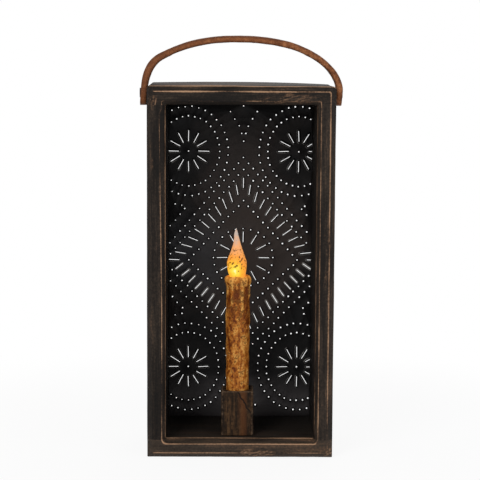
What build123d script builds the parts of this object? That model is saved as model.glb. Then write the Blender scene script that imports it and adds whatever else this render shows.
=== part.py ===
from build123d import *

import math
import os

# Punched tin lantern: an open-fronted wooden box with a punched tin back, a leather strap handle and a
# battery candle that stands in a wooden block. Millimetres, +Z up, -Y is the open front.
# The origin lies at the centre of the underside.

os.makedirs("parts", exist_ok=True)

# Wooden case
case_width = 152.4
case_height = 304.8
case_depth = 88.9
board_thickness = 15.6
outer_chamfer = 4.5
base_chamfer = 1.2

# Bevel that the router cut round the front opening after the boards were joined
bevel_side_leg = 3.1
bevel_sill_leg = 4.0
bevel_depth = 3.4
bevel_front_corner = 3.2
bevel_inner_corner = 1.4

# Rabbet round the back, and the tin that lies in it
rabbet_width = 6.0
rabbet_depth = 2.5
tin_thickness = 0.4
tin_edge_gap = 0.5

# Punched pattern
pattern_offset_x = 2.7
rosette_pitch_x = 93.6
rosette_pitch_z = 186.4
dot_radius = 0.85
dot_sides = 4
bar_width = 1.3
rosette_bar_inner = 8.3
rosette_bar_outer = 17.6
inner_ring_radius_x = 26.4
inner_ring_radius_z = 29.8
outer_ring_radius_x = 33.8
outer_ring_radius_z = 38.0
corner_arc_radius_x = 41.5
corner_arc_radius_z = 47.0
middle_ring_radius = 25.5
star_bar_inner = 13.4
star_bar_outer = 22.4
near_row_width = 46.5
near_row_height = 51.3
bar_row_width = 59.0
bar_row_height = 67.2
bar_row_length = 9.0
third_row_width = 66.3
third_row_height = 78.2
fourth_row_width = 75.0
fourth_row_height = 88.5
far_row_width = 87.0
far_row_height = 102.7
far_row_start_x = 48.5
vee_tip_height = 101.9
vee_fork_height = 108.6
vee_fork_half_gap = 1.75
vee_step_x = 3.75
vee_step_z = 6.1
vee_crown_height = 131.6
rosette_bar_count = 12
inner_ring_count = 32
outer_ring_count = 36
corner_arc_count = 46
corner_arc_kept_count = 3
middle_ring_count = 24
near_row_steps = 11
bar_row_steps = 11
third_row_steps = 16
fourth_row_steps = 18
far_row_steps = 21
vee_arm_steps = 3
half_step_share = 0.5

# Tacks that hold the tin
tack_shank_radius = 0.55
tack_length = 9.0
tack_head_radius = 1.7
tack_head_height = 0.5
tack_inset = 2.6
tack_rows_share = (-0.43, -0.14, 0.14, 0.43)
tack_columns_share = (-0.27, 0.27)
punch_to_tack = 1.0
punch_web = 0.2
punch_edge = 1.0

# Finish nails at the corners of the case
nail_radius = 0.8
nail_length = 38.0
nail_head_radius = 1.4
nail_head_height = 1.2
nail_spread = 46.0

# Screws
wood_fit = 0.05
strap_screw_radius = 2.0
strap_screw_length = 26.0
strap_screw_head_radius = 4.0
strap_screw_head_height = 2.0
holder_screw_radius = 2.0
holder_screw_length = 27.0
holder_screw_head_radius = 3.9
holder_screw_head_height = 2.3

# Leather strap
strap_width = 20.0
strap_thickness = 6.0
strap_side_gap = 1.2
strap_tail = 10.0
strap_tail_radius = 6.0
strap_bend_lift = 2.0
strap_shoulder_radius = 34.0
strap_crown_rise = 8.0
strap_hole_gap = 0.08

# Candle holder block
holder_side = 26.6
holder_height = 37.1
holder_x = -2.1
holder_y = -16.25
holder_edge = 0.5
socket_depth = 20.0
socket_gap = 0.5
socket_lead = 0.8

# Wax-dipped candle
candle_radius = 9.5
candle_rim_radius = 10.8
candle_cup_depth = 8.05
candle_rim_drop = 3.4
candle_rim_lip = 1.6
candle_neck_radius = 10.3
candle_neck_drop = 13.0
candle_cup_radius = 8.5
candle_cup_floor_radius = 7.6
candle_floor_gap = 0.2

# Battery tube and what is in it
tube_outer_radius = 7.1
tube_inner_radius = 5.6
tube_fit = 0.1
tube_end_wall = 1.2
tube_rim_height = 2.9
tube_lug_clearance = 0.15
cell_radius = 5.25
cell_length = 43.5
cell_nub_radius = 1.9
cell_nub_height = 1.0
plate_radius = 5.4
plate_thickness = 0.4
plate_hole_radius = 0.9
strip_width = 2.0
strip_thickness = 0.3
strip_fit = 0.1
board_disc_thickness = 1.2
board_disc_fit = 0.1
led_flange_radius = 2.9
led_flange_height = 1.0
led_radius = 2.5
led_height = 8.6
led_dome_angles = (0.0, 35.0, 70.0)

# Flame-shaped cover
flame_base_radius = 6.9
flame_height = 46.8
flame_bore_radius = 3.1
flame_bore_height = 10.5
flame_heights_share = (0.0, 0.15, 0.26, 0.36, 0.45, 0.55, 0.74, 0.90, 1.0)
flame_radii_share = (1.0, 1.06, 1.16, 1.19, 1.12, 0.88, 0.58, 0.30, 0.04)

# Twist-off base with the slide switch
cap_height = 5.0
cap_radius_gap = 0.2
cap_edge = 0.6
cap_seam = 0.15
spigot_height = 4.0
spigot_fit = 0.08
bayonet_turn_angle = 30.0
lug_width = 2.4
lug_height = 1.1
lug_reach = 0.5
lug_rise = 1.4
spring_radius = 3.2
spring_wire_radius = 0.3
spring_height = 5.0
spring_turns = 3.5
spring_steps = 8
spring_sink = 0.25
switch_length = 8.6
switch_width = 4.0
switch_height = 2.8
switch_recess = 1.4
switch_fit = 0.05
slider_length = 1.8
slider_width = 1.4
slider_sink = 0.9
slider_travel = 2.0
slider_gap = 0.1
slider_ground_gap = 0.3

# Flats round a turned piece: few on what is small or hidden, more on what shows
pin_sides = 6
tack_sides = 6
screw_sides = 8
cell_sides = 12
disc_sides = 16
candle_sides = 20

# One overrun for every cutter that runs past a face
overrun = 1.0

# Places worked out from the sizes above
opening_width = case_width - 2 * board_thickness
opening_height = case_height - 2 * board_thickness
case_middle_z = case_height / 2
front_y = -case_depth / 2
back_y = case_depth / 2
tin_front_y = back_y - rabbet_depth
tin_width = opening_width + 2 * (rabbet_width - tin_edge_gap)
tin_height = opening_height + 2 * (rabbet_width - tin_edge_gap)
strap_inner_x = case_width / 2 + strap_side_gap
strap_middle_x = strap_inner_x + strap_thickness / 2
strap_outer_x = strap_inner_x + strap_thickness
strap_screw_z = case_height - board_thickness / 2
strap_bend_z = strap_screw_z + strap_bend_lift
strap_crown_z = strap_bend_z + strap_shoulder_radius + strap_crown_rise
candle_z = board_thickness + holder_height - socket_depth + candle_floor_gap
candle_place = Pos(holder_x, holder_y, candle_z)
tube_z = cap_height + cap_seam
spring_z = cap_height + spigot_height - spring_sink
lower_cell_z = spring_z + spring_height
upper_cell_z = lower_cell_z + cell_length + cell_nub_height
plate_z = upper_cell_z + cell_length + cell_nub_height
end_wall_z = plate_z + plate_thickness
board_disc_z = end_wall_z + tube_end_wall
tube_top_z = board_disc_z + tube_rim_height
candle_height = tube_top_z + candle_cup_depth
board_disc_radius = tube_outer_radius - (tube_outer_radius - tube_inner_radius) / 2 - board_disc_fit
strip_outer_radius = tube_inner_radius + strip_fit + strip_thickness
lug_z = tube_z + lug_rise
nail_sizes = (nail_length, nail_radius, nail_head_radius, nail_head_height, pin_sides)
strap_screw_sizes = (
    strap_screw_length,
    strap_screw_radius,
    strap_screw_head_radius,
    strap_screw_head_height,
    screw_sides,
)
holder_screw_sizes = (
    holder_screw_length,
    holder_screw_radius,
    holder_screw_head_radius,
    holder_screw_head_height,
    screw_sides,
)


def block(low, high):
    """Box between two corners."""
    size = [b - a for a, b in zip(low, high)]
    middle = [(a + b) / 2 for a, b in zip(low, high)]
    return Pos(*middle) * Box(*size)


def polygon(corners):
    """Flat face through the given points."""
    return Face(Wire.make_polygon([Vector(*corner) for corner in corners], close=True))


def stacked(rings):
    """Solid through a stack of flat outlines that have equally many corners and parallel sides."""
    faces = [polygon(rings[0]), polygon(rings[-1])]
    for low, high in zip(rings, rings[1:]):
        faces += [polygon([low[i - 1], low[i], high[i], high[i - 1]]) for i in range(len(low))]
    return Solid(Shell(faces))


def turned(levels, sides, hole=False):
    """Upright turned piece from (height, radius) levels, bottom first, worked with flats.

    A solid's corners lie on the radius and a hole's flats do, so that a solid turns freely in its hole.
    """
    grow = 1 / math.cos(math.pi / sides) if hole else 1
    turns = [2 * math.pi * i / sides for i in range(sides)]
    return stacked([[(r * grow * math.cos(a), r * grow * math.sin(a), z) for a in turns] for z, r in levels])


def rod(radius, height, base_z, sides):
    """Upright rod that stands on base_z."""
    return turned([(base_z, radius), (base_z + height, radius)], sides)


def drill(radius, height, base_z, sides):
    """Cutter for a round hole from base_z up."""
    return turned([(base_z, radius), (base_z + height, radius)], sides, True)


def sunk_head_pin(length, radius, head_radius, head_height, sides):
    """Pin down from z = 0, with a countersunk head flush at z = 0."""
    return turned([(-length, radius), (-head_height, radius), (0, head_radius)], sides)


def sunk_head_hole(length, radius, head_radius, head_height, sides, fit):
    """Hole for such a pin, larger by the fit all round and open past z = 0."""
    levels = [
        (-length - fit, radius + fit),
        (-head_height - fit, radius + fit),
        (0, head_radius + fit),
        (overrun, head_radius + fit),
    ]
    return turned(levels, sides, True)


def export(shape, node):
    """Write one node."""
    export_step(shape, f"parts/{node}.step")


# Case and its four boards


def cut_corners(width, height, legs):
    """Corners of a rectangle about the origin, each cut at 45 degrees by its own leg.

    The legs run from the lower left corner, anticlockwise.
    """
    w, h = width / 2, height / 2
    low_left, low_right, high_right, high_left = legs
    return [
        (-w, -h + low_left),
        (-w + low_left, -h),
        (w - low_right, -h),
        (w, -h + low_right),
        (w, h - high_right),
        (w - high_right, h),
        (-w + high_left, h),
        (-w, h - high_left),
    ]


def prism(corners, plane, reach):
    """Bar with the given outline, centred on a plane."""
    ends = (-reach / 2, reach / 2)
    return stacked([[plane.from_local_coords(Vector(u, v, w)) for u, v in corners] for w in ends])


def outer_block():
    """The outside of the case: chamfered on every edge, but only eased round the foot's back and ends."""
    middle = (0, 0, case_middle_z)
    seen_from_above = cut_corners(case_width, case_depth, [outer_chamfer] * 4)
    seen_from_front = cut_corners(
        case_width, case_height, [base_chamfer, base_chamfer, outer_chamfer, outer_chamfer]
    )
    seen_from_right = cut_corners(
        case_depth, case_height, [outer_chamfer, base_chamfer, outer_chamfer, outer_chamfer]
    )
    above = Plane(origin=middle, x_dir=(1, 0, 0), z_dir=(0, 0, 1))
    front = Plane(origin=middle, x_dir=(1, 0, 0), z_dir=(0, -1, 0))
    right = Plane(origin=middle, x_dir=(0, 1, 0), z_dir=(1, 0, 0))
    body = prism(seen_from_above, above, case_height)
    body = body & prism(seen_from_front, front, case_depth)
    return body & prism(seen_from_right, right, case_width)


def bevel_cutter():
    """Tapered tool for the bevel round the opening: its clipped corners shrink towards the inside."""

    def outline(y, side_leg, sill_leg, corner):
        width = opening_width + 2 * side_leg
        height = opening_height + side_leg + sill_leg
        middle_z = case_middle_z + (side_leg - sill_leg) / 2
        return [(u, y, middle_z + v) for u, v in cut_corners(width, height, [corner] * 4)]

    slope = overrun / bevel_depth
    side_front = bevel_side_leg * (1 + slope)
    sill_front = bevel_sill_leg * (1 + slope)
    front = outline(front_y - overrun, side_front, sill_front, bevel_front_corner)
    inner = outline(front_y + bevel_depth, 0, 0, bevel_inner_corner)
    return stacked([front, inner])


def rabbet_cutter():
    """Step round the back for the tin."""
    width = opening_width + 2 * rabbet_width
    height = opening_height + 2 * rabbet_width
    return block(
        (-width / 2, tin_front_y, case_middle_z - height / 2),
        (width / 2, back_y + overrun, case_middle_z + height / 2),
    )


def nail_places():
    """Corner nails: place of each head and whether it is driven down from the top."""
    x = case_width / 2 - board_thickness / 2
    for side in (-1, 1):
        for y in (-nail_spread / 2, nail_spread / 2):
            yield Pos(side * x, y, case_height)
            yield Pos(side * x, y, 0) * Rot(180, 0, 0)


def tack_places():
    """Heads of the tacks on the back of the tin."""
    x = tin_width / 2 - tack_inset
    z = tin_height / 2 - tack_inset
    for side in (-1, 1):
        for share in tack_rows_share:
            yield side * x, share * tin_height
        for share in tack_columns_share:
            yield share * tin_width, side * z


def tack_frame(x, z):
    """Place on the back of the tin, with local +Z pointing out of the back."""
    return Pos(x, tin_front_y + tin_thickness, case_middle_z + z) * Rot(-90, 0, 0)


def tack():
    shank = rod(tack_shank_radius, tack_length, -tack_length, dot_sides)
    return shank + rod(tack_head_radius, tack_head_height, 0, tack_sides)


def strap_screw_frame(side):
    """Place of a strap screw's head, with local +Z pointing out of the case."""
    return Pos(side * strap_outer_x, 0, strap_screw_z) * Rot(0, side * 90, 0)


def holder_screw_frame():
    """Underside of the case below the block, with local +Z pointing down."""
    return Pos(holder_x, holder_y, 0) * Rot(180, 0, 0)


def build_case():
    """Shape the assembled case, then part it into its boards."""
    opening = block(
        (-opening_width / 2, front_y - overrun, board_thickness),
        (opening_width / 2, back_y + overrun, case_height - board_thickness),
    )
    case = outer_block() - opening - bevel_cutter() - rabbet_cutter()
    half = case_width / 2 + overrun
    deep = case_depth / 2 + overrun
    low, high = board_thickness, case_height - board_thickness
    boards = {
        "bottom_board": block((-half, -deep, -overrun), (half, deep, low)),
        "top_board": block((-half, -deep, high), (half, deep, case_height + overrun)),
        "left_side_board": block((-half, -deep, low), (0, deep, high)),
        "right_side_board": block((0, -deep, low), (half, deep, high)),
    }
    nail_hole = sunk_head_hole(*nail_sizes, wood_fit)
    tack_hole = drill(
        tack_shank_radius + wood_fit, tack_length + overrun, -tack_length - wood_fit, dot_sides
    )
    holes = [place * nail_hole for place in nail_places()]
    holes += [tack_frame(x, z) * tack_hole for x, z in tack_places()]
    holes += [strap_screw_frame(side) * sunk_head_hole(*strap_screw_sizes, wood_fit) for side in (-1, 1)]
    holes.append(holder_screw_frame() * sunk_head_hole(*holder_screw_sizes, wood_fit))
    for node, region in boards.items():
        board = case & region
        for hole in holes:
            board -= hole
        export(board, node)


# Punched tin


def ellipse_points(middle_x, middle_z, radius_x, radius_z, count, offset=0.0):
    for i in range(count):
        turn = 2 * math.pi * (i + offset) / count
        yield middle_x + radius_x * math.cos(turn), middle_z + radius_z * math.sin(turn)


def row_points(width, height, steps):
    """Points from the upper corner of a diamond down its edge to the side corner."""
    for i in range(steps + 1):
        yield width * i / steps, height * (1 - i / steps)


def mirrored(points):
    """Each point in the four quarters, once each."""
    seen = set()
    for x, z in points:
        for sx in (-1, 1):
            for sz in (-1, 1):
                spot = (round(sx * x, 6), round(sz * z, 6))
                if spot not in seen:
                    seen.add(spot)
                    yield spot


def dot_centres():
    """Every round punch mark, about the middle of the pattern."""
    rosette_x, rosette_z = rosette_pitch_x / 2, rosette_pitch_z / 2
    quarter = [(rosette_x, rosette_z)]
    quarter += ellipse_points(
        rosette_x, rosette_z, inner_ring_radius_x, inner_ring_radius_z, inner_ring_count
    )
    quarter += ellipse_points(
        rosette_x, rosette_z, outer_ring_radius_x, outer_ring_radius_z, outer_ring_count, half_step_share
    )
    arc = ellipse_points(
        rosette_x, rosette_z, corner_arc_radius_x, corner_arc_radius_z, corner_arc_count, half_step_share
    )
    outward = sorted((p for p in arc if p[0] > rosette_x), key=lambda p: p[1])
    quarter += outward[:corner_arc_kept_count]
    quarter += row_points(near_row_width, near_row_height, near_row_steps)
    quarter += row_points(third_row_width, third_row_height, third_row_steps)
    quarter += row_points(fourth_row_width, fourth_row_height, fourth_row_steps)
    far_row = row_points(far_row_width, far_row_height, far_row_steps)
    quarter += [p for p in far_row if p[0] > far_row_start_x]
    quarter.append((0.0, vee_tip_height))
    quarter.append((0.0, vee_crown_height))
    quarter.append((vee_fork_half_gap, vee_fork_height))
    for i in range(1, vee_arm_steps + 1):
        quarter.append((vee_step_x * i, vee_fork_height + vee_step_z * i))
    yield from mirrored(quarter)
    yield from ellipse_points(
        0, 0, middle_ring_radius, middle_ring_radius, middle_ring_count, half_step_share
    )


def bar_marks():
    """Every chisel mark as (x, z, angle, length), about the middle of the pattern."""
    for sx in (-1, 1):
        for sz in (-1, 1):
            middle = (sx * rosette_pitch_x / 2, sz * rosette_pitch_z / 2)
            yield from ray_marks(middle, rosette_bar_inner, rosette_bar_outer)
    yield from ray_marks((0, 0), star_bar_inner, star_bar_outer)
    stations = list(row_points(bar_row_width, bar_row_height, bar_row_steps))
    for i, (x, z) in enumerate(stations):
        lean = math.pi / 2 * (1 - i / bar_row_steps)
        for sx in (-1, 1):
            for sz in (-1, 1):
                if (i == 0 and sx < 0) or (i == bar_row_steps and sz < 0):
                    continue
                angle = math.atan2(sz * math.sin(lean), sx * math.cos(lean))
                yield sx * x, sz * z, angle, bar_row_length


def ray_marks(middle, inner, outer):
    """Chisel marks that stand like rays round a point."""
    for i in range(rosette_bar_count):
        angle = 2 * math.pi * i / rosette_bar_count
        reach = (inner + outer) / 2
        x = middle[0] + reach * math.cos(angle)
        z = middle[1] + reach * math.sin(angle)
        yield x, z, angle, outer - inner


def dot_corners(x, z, reach):
    """Corners of a mark made by a pointed punch with four sides."""
    turns = [2 * math.pi * i / dot_sides for i in range(dot_sides)]
    return [(x + reach * math.cos(a), z + reach * math.sin(a)) for a in turns]


def hole_wire(corners):
    points = [Vector(x, tin_front_y, case_middle_z + z) for x, z in corners]
    return Wire.make_polygon(points, close=True)


def bar_corners(x, z, angle, length):
    """Corners of a slot cut by a flat chisel."""
    ux, uz = math.cos(angle) * length / 2, math.sin(angle) * length / 2
    vx, vz = -math.sin(angle) * bar_width / 2, math.cos(angle) * bar_width / 2
    signs = [(-1, -1), (1, -1), (1, 1), (-1, 1)]
    return [(x + a * ux + b * vx, z + a * uz + b * vz) for a, b in signs]


def bar_stations(x, z, angle, length):
    """Points along a slot, no further apart than it is wide."""
    count = math.ceil(length / bar_width)
    for i in range(count + 1):
        along = length * (i / count - half_step_share)
        yield x + along * math.cos(angle), z + along * math.sin(angle)


def cut_short(x, z, angle, length):
    """The same slot, ended where it would run off the side of the sheet."""
    across = math.cos(angle)
    past = abs(x) + abs(across) * length / 2 - (tin_width / 2 - punch_edge)
    if past <= 0 or abs(x) > tin_width / 2 - punch_edge:
        return x, z, angle, length
    lost = past / abs(across)
    back = math.copysign(lost / 2, x * across)
    return x - back * across, z - back * math.sin(angle), angle, length - lost


def punched_marks():
    """Each mark's corners. A mark is made only where it keeps its web to the tacks and to those before it."""
    spots = [(x, z, tack_head_radius + punch_to_tack) for x, z in tack_places()]

    def room(stations, reach, half_width):
        return all(
            abs(x) <= half_width
            and abs(z) < opening_height / 2
            and all(math.hypot(x - a, z - b) > reach + kept for a, b, kept in spots)
            for x, z in stations
        )

    for x, z in dot_centres():
        x += pattern_offset_x
        if room([(x, z)], dot_radius, opening_width / 2):
            spots.append((x, z, dot_radius + punch_web))
            yield dot_corners(x, z, dot_radius)
    for x, z, angle, length in bar_marks():
        bar = cut_short(x + pattern_offset_x, z, angle, length)
        stations = list(bar_stations(*bar))
        if room(stations, bar_width / 2, tin_width / 2 - punch_edge):
            spots += [(a, b, bar_width / 2 + punch_web) for a, b in stations]
            yield bar_corners(*bar)


def build_tin():
    """One flat sheet with every mark cut through it."""
    holes = list(punched_marks())
    tack_hole = tack_shank_radius + wood_fit
    for x, z in tack_places():
        holes.append(dot_corners(x, z, tack_hole / math.cos(math.pi / dot_sides)))
    w, h = tin_width / 2, tin_height / 2
    sheet = Face(hole_wire([(-w, -h), (w, -h), (w, h), (-w, h)]), [hole_wire(c) for c in holes])
    print("holes in the tin", len(holes))
    export(Solid.extrude(sheet, Vector(0, tin_thickness, 0)), "punched_tin_panel")


# Leather strap


def strap_body():
    """Arched strap: two upright legs, two shoulder bends and one wide crown arc, all tangent."""
    shoulder_x = strap_middle_x - strap_shoulder_radius
    turn = 90 - 2 * math.degrees(math.atan2(strap_crown_rise, shoulder_x))
    crown_radius = shoulder_x / math.cos(math.radians(turn)) + strap_shoulder_radius
    crown_centre_z = strap_crown_z - crown_radius
    foot_z = strap_screw_z - strap_tail

    def arc_line(offset):
        x = strap_middle_x + offset
        shoulder = strap_shoulder_radius + offset
        return [
            Line((x, foot_z), (x, strap_bend_z)),
            CenterArc((shoulder_x, strap_bend_z), shoulder, 0, turn),
            CenterArc((0, crown_centre_z), crown_radius + offset, turn, 180 - 2 * turn),
            CenterArc((-shoulder_x, strap_bend_z), shoulder, 180 - turn, turn),
            Line((-x, strap_bend_z), (-x, foot_z)),
        ]

    half = strap_thickness / 2
    ends = [
        Line((side * (strap_middle_x - half), foot_z), (side * (strap_middle_x + half), foot_z))
        for side in (-1, 1)
    ]
    outline = Wire(arc_line(half) + arc_line(-half) + ends)
    flat = Plane.XZ * Face(outline)
    strap = extrude(flat, amount=strap_width / 2, both=True)
    tail_corners = strap.edges().filter_by(Axis.X).group_by(Axis.Z)[0]
    strap = fillet(tail_corners, strap_tail_radius)
    for side in (-1, 1):
        strap -= strap_screw_frame(side) * sunk_head_hole(*strap_screw_sizes, strap_hole_gap)
    return strap


# Candle holder and candle


def build_holder():
    top = board_thickness + holder_height
    body = Pos(holder_x, holder_y, board_thickness + holder_height / 2) * Box(
        holder_side, holder_side, holder_height
    )
    upper = body.edges().group_by(Axis.Z)[-1]
    uprights = body.edges().filter_by(Axis.Z)
    body = chamfer(list(upper) + list(uprights), holder_edge)
    reach = candle_radius + socket_gap
    mouth = reach + socket_lead + overrun
    levels = [(top - socket_depth, reach), (top - socket_lead, reach), (top + overrun, mouth)]
    body -= Pos(holder_x, holder_y, 0) * turned(levels, candle_sides, True)
    body -= holder_screw_frame() * sunk_head_hole(*holder_screw_sizes, wood_fit)
    export(body, "candle_holder")


def build_wax():
    """Wax coat: straight shank that swells a little towards a thick dripped rim round a cup."""
    rim_z = candle_height - candle_rim_drop
    lip = candle_rim_lip / 2
    wax = turned(
        [
            (tube_z, candle_radius),
            (candle_height - candle_neck_drop, candle_neck_radius),
            (rim_z, candle_rim_radius),
            (candle_height, candle_rim_radius - lip),
        ],
        candle_sides,
    )
    bore = drill(tube_outer_radius + tube_fit, tube_top_z - tube_z + overrun, tube_z - overrun, disc_sides)
    cup = turned(
        [
            (tube_top_z, candle_cup_floor_radius),
            (rim_z, candle_cup_radius),
            (candle_height, candle_cup_radius + lip),
            (candle_height + overrun, candle_cup_radius + lip),
        ],
        candle_sides,
        True,
    )
    export(candle_place * (wax - bore - cup), "wax_sleeve")


def build_tube():
    """Battery tube: bayonet groove at the foot, end wall and a rim that holds the circuit board."""
    tube = rod(tube_outer_radius, tube_top_z - tube_z, tube_z, disc_sides)
    tube -= drill(tube_inner_radius, end_wall_z - tube_z + overrun, tube_z - overrun, disc_sides)
    seat = board_disc_radius + board_disc_fit
    tube -= drill(seat, tube_rim_height + overrun, board_disc_z, disc_sides)
    reach = tube_inner_radius + lug_reach + tube_lug_clearance
    groove_low = lug_z - tube_lug_clearance
    groove_height = lug_height + 2 * tube_lug_clearance
    tube -= drill(reach, groove_height, groove_low, disc_sides)
    entry = lug_width + 2 * tube_lug_clearance
    gate = block(
        (-entry / 2, -reach, tube_z - overrun),
        (entry / 2, reach, groove_low + groove_height / 2),
    )
    tube -= Rot(0, 0, bayonet_turn_angle) * gate
    half = strip_width / 2 + strip_fit
    tube -= block(
        (0, -half, tube_z - overrun),
        (strip_outer_radius + strip_fit, half, end_wall_z),
    )
    tube -= block(
        (tube_inner_radius, -half, end_wall_z - strip_fit),
        (strip_outer_radius + strip_fit, half, board_disc_z + strip_fit),
    )
    tube -= drill(plate_hole_radius, tube_end_wall + 2 * overrun, end_wall_z - overrun, pin_sides)
    export(candle_place * tube, "battery_tube")


def build_strip():
    low = tube_inner_radius + strip_fit
    half = strip_width / 2
    strip = block((low, -half, tube_z), (low + strip_thickness, half, board_disc_z))
    export(candle_place * strip, "battery_strip")


def build_cells():
    for node, base in (("lower_battery", lower_cell_z), ("upper_battery", upper_cell_z)):
        cell = rod(cell_radius, cell_length, base, cell_sides)
        cell += rod(cell_nub_radius, cell_nub_height, base + cell_length, screw_sides)
        export(candle_place * cell, node)


def build_light():
    plate = rod(plate_radius, plate_thickness, plate_z, disc_sides)
    export(candle_place * plate, "contact_plate")
    disc = rod(board_disc_radius, board_disc_thickness, board_disc_z, disc_sides)
    export(candle_place * disc, "circuit_board")
    foot = board_disc_z + board_disc_thickness
    dome = [math.radians(a) for a in led_dome_angles]
    shoulder = foot + led_height - led_radius
    levels = [(foot + led_flange_height, led_radius)]
    levels += [(shoulder + led_radius * math.sin(a), led_radius * math.cos(a)) for a in dome]
    lamp = rod(led_flange_radius, led_flange_height, foot, screw_sides) + turned(levels, screw_sides)
    export(candle_place * lamp, "led")


def build_flame():
    """Soft cover with a bore for the light: narrow foot, full belly and a drawn-out tip."""
    levels = [
        (tube_top_z + rise * flame_height, width * flame_base_radius)
        for rise, width in zip(flame_heights_share, flame_radii_share)
    ]
    flame = turned(levels, disc_sides)
    flame -= drill(flame_bore_radius, flame_bore_height + overrun, tube_top_z - overrun, screw_sides)
    export(candle_place * flame, "flame_bulb")


# Twist-off base


def switch_pocket(fit):
    """Room for the switch body in the underside of the cap."""
    return block(
        (-switch_length / 2 - fit, -switch_width / 2 - fit, -overrun),
        (switch_length / 2 + fit, switch_width / 2 + fit, switch_recess + switch_height),
    )


def build_cap():
    reach = candle_radius - cap_radius_gap
    skirt = [(0, reach - cap_edge), (cap_edge, reach), (cap_height, reach)]
    cap = turned(skirt, candle_sides)
    cap += rod(tube_inner_radius - spigot_fit, spigot_height, cap_height, disc_sides)
    lug_far = tube_inner_radius + lug_reach
    lugs = block((-lug_width / 2, -lug_far, lug_z), (lug_width / 2, lug_far, lug_z + lug_height))
    cap += lugs
    cap -= switch_pocket(switch_fit)
    seat = spring_radius + 2 * spring_wire_radius
    cap -= drill(seat, spring_sink + overrun, cap_height + spigot_height - spring_sink, disc_sides)
    export(candle_place * cap, "base_cap")


def build_spring():
    """Open coil: one unbroken square wire that stands in the cap's seat and presses on the lower cell."""
    free = spring_height - 2 * spring_wire_radius
    steps = round(spring_turns * spring_steps)
    sections = []
    for i in range(steps + 1):
        turn = 360 * i / spring_steps
        place = Rot(0, 0, turn) * Pos(spring_radius, 0, free * i / steps) * Rot(90, 0, 0)
        sections.append(place * Rectangle(2 * spring_wire_radius, 2 * spring_wire_radius))
    coil = loft(sections, ruled=True)
    gap = free / spring_turns - 2 * spring_wire_radius
    print("least gap between spring turns", round(gap, 2))
    export(candle_place * Pos(0, 0, spring_z + spring_wire_radius) * coil, "contact_spring")


def build_switch():
    body = block(
        (-switch_length / 2, -switch_width / 2, switch_recess),
        (switch_length / 2, switch_width / 2, switch_recess + switch_height),
    )
    room = (slider_length + slider_travel) / 2 + slider_gap
    side = slider_width / 2 + slider_gap
    body -= block(
        (-room, -side, switch_recess - overrun),
        (room, side, switch_recess + slider_sink + slider_gap),
    )
    export(candle_place * body, "switch_body")
    start = -(slider_length + slider_travel) / 2
    slider = block(
        (start, -slider_width / 2, slider_ground_gap),
        (start + slider_length, slider_width / 2, switch_recess + slider_sink),
    )
    export(candle_place * slider, "switch_slider")


build_case()
build_tin()
nail = sunk_head_pin(*nail_sizes)
export(Compound(children=[place * nail for place in nail_places()]), "case_nails")
export(Compound(children=[tack_frame(x, z) * tack() for x, z in tack_places()]), "panel_tacks")
export(strap_screw_frame(-1) * sunk_head_pin(*strap_screw_sizes), "left_strap_screw")
export(strap_screw_frame(1) * sunk_head_pin(*strap_screw_sizes), "right_strap_screw")
export(holder_screw_frame() * sunk_head_pin(*holder_screw_sizes), "holder_screw")
export(strap_body(), "leather_strap")
build_holder()
build_wax()
build_tube()
build_strip()
build_cells()
build_light()
build_flame()
build_cap()
build_spring()
build_switch()
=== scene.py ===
"""Punched tin lantern: the dressed model of a worn wooden lantern box with a wax-dipped battery candle.

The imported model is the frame. Each class below holds the sizes of one sub-assembly, builds its pieces
round the frame and dresses them. Lengths are metres, and MM turns a size in millimetres into metres.
+Z is up, and the open front looks along -Y.
"""

import itertools
import logging
import math
import random
from dataclasses import dataclass, field
from enum import Enum
from typing import Callable, Iterable, Iterator, Sequence

import bmesh
import bpy
from mathutils import Matrix, Vector, noise
from mathutils.geometry import delaunay_2d_cdt


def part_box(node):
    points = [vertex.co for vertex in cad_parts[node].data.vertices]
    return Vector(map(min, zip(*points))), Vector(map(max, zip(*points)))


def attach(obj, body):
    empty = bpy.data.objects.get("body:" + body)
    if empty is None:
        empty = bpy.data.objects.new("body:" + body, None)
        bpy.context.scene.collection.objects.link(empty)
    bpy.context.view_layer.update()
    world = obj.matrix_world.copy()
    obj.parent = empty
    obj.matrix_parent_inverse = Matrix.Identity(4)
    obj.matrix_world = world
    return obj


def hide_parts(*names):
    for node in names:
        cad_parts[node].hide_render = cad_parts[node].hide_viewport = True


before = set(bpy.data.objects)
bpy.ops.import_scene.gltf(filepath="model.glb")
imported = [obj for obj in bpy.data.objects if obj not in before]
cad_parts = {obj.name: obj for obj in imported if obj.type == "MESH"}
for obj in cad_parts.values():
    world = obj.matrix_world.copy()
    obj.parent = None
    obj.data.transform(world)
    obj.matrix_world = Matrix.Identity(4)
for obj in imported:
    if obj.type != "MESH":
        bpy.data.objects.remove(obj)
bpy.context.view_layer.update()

MM = 0.001
LOG = logging.getLogger("lantern")

Triple = tuple[float, float, float]
Colour = Triple
Spot = tuple[float, float]
Four = tuple[float, float, float, float]
Stops = tuple[Spot, ...]
Rings = tuple[Triple, ...]
Values = dict[str, float]


class Axis(Enum):
    """Which way the grain of a board runs."""

    ALONG_X = "across the case"
    ALONG_Z = "upright"


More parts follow.
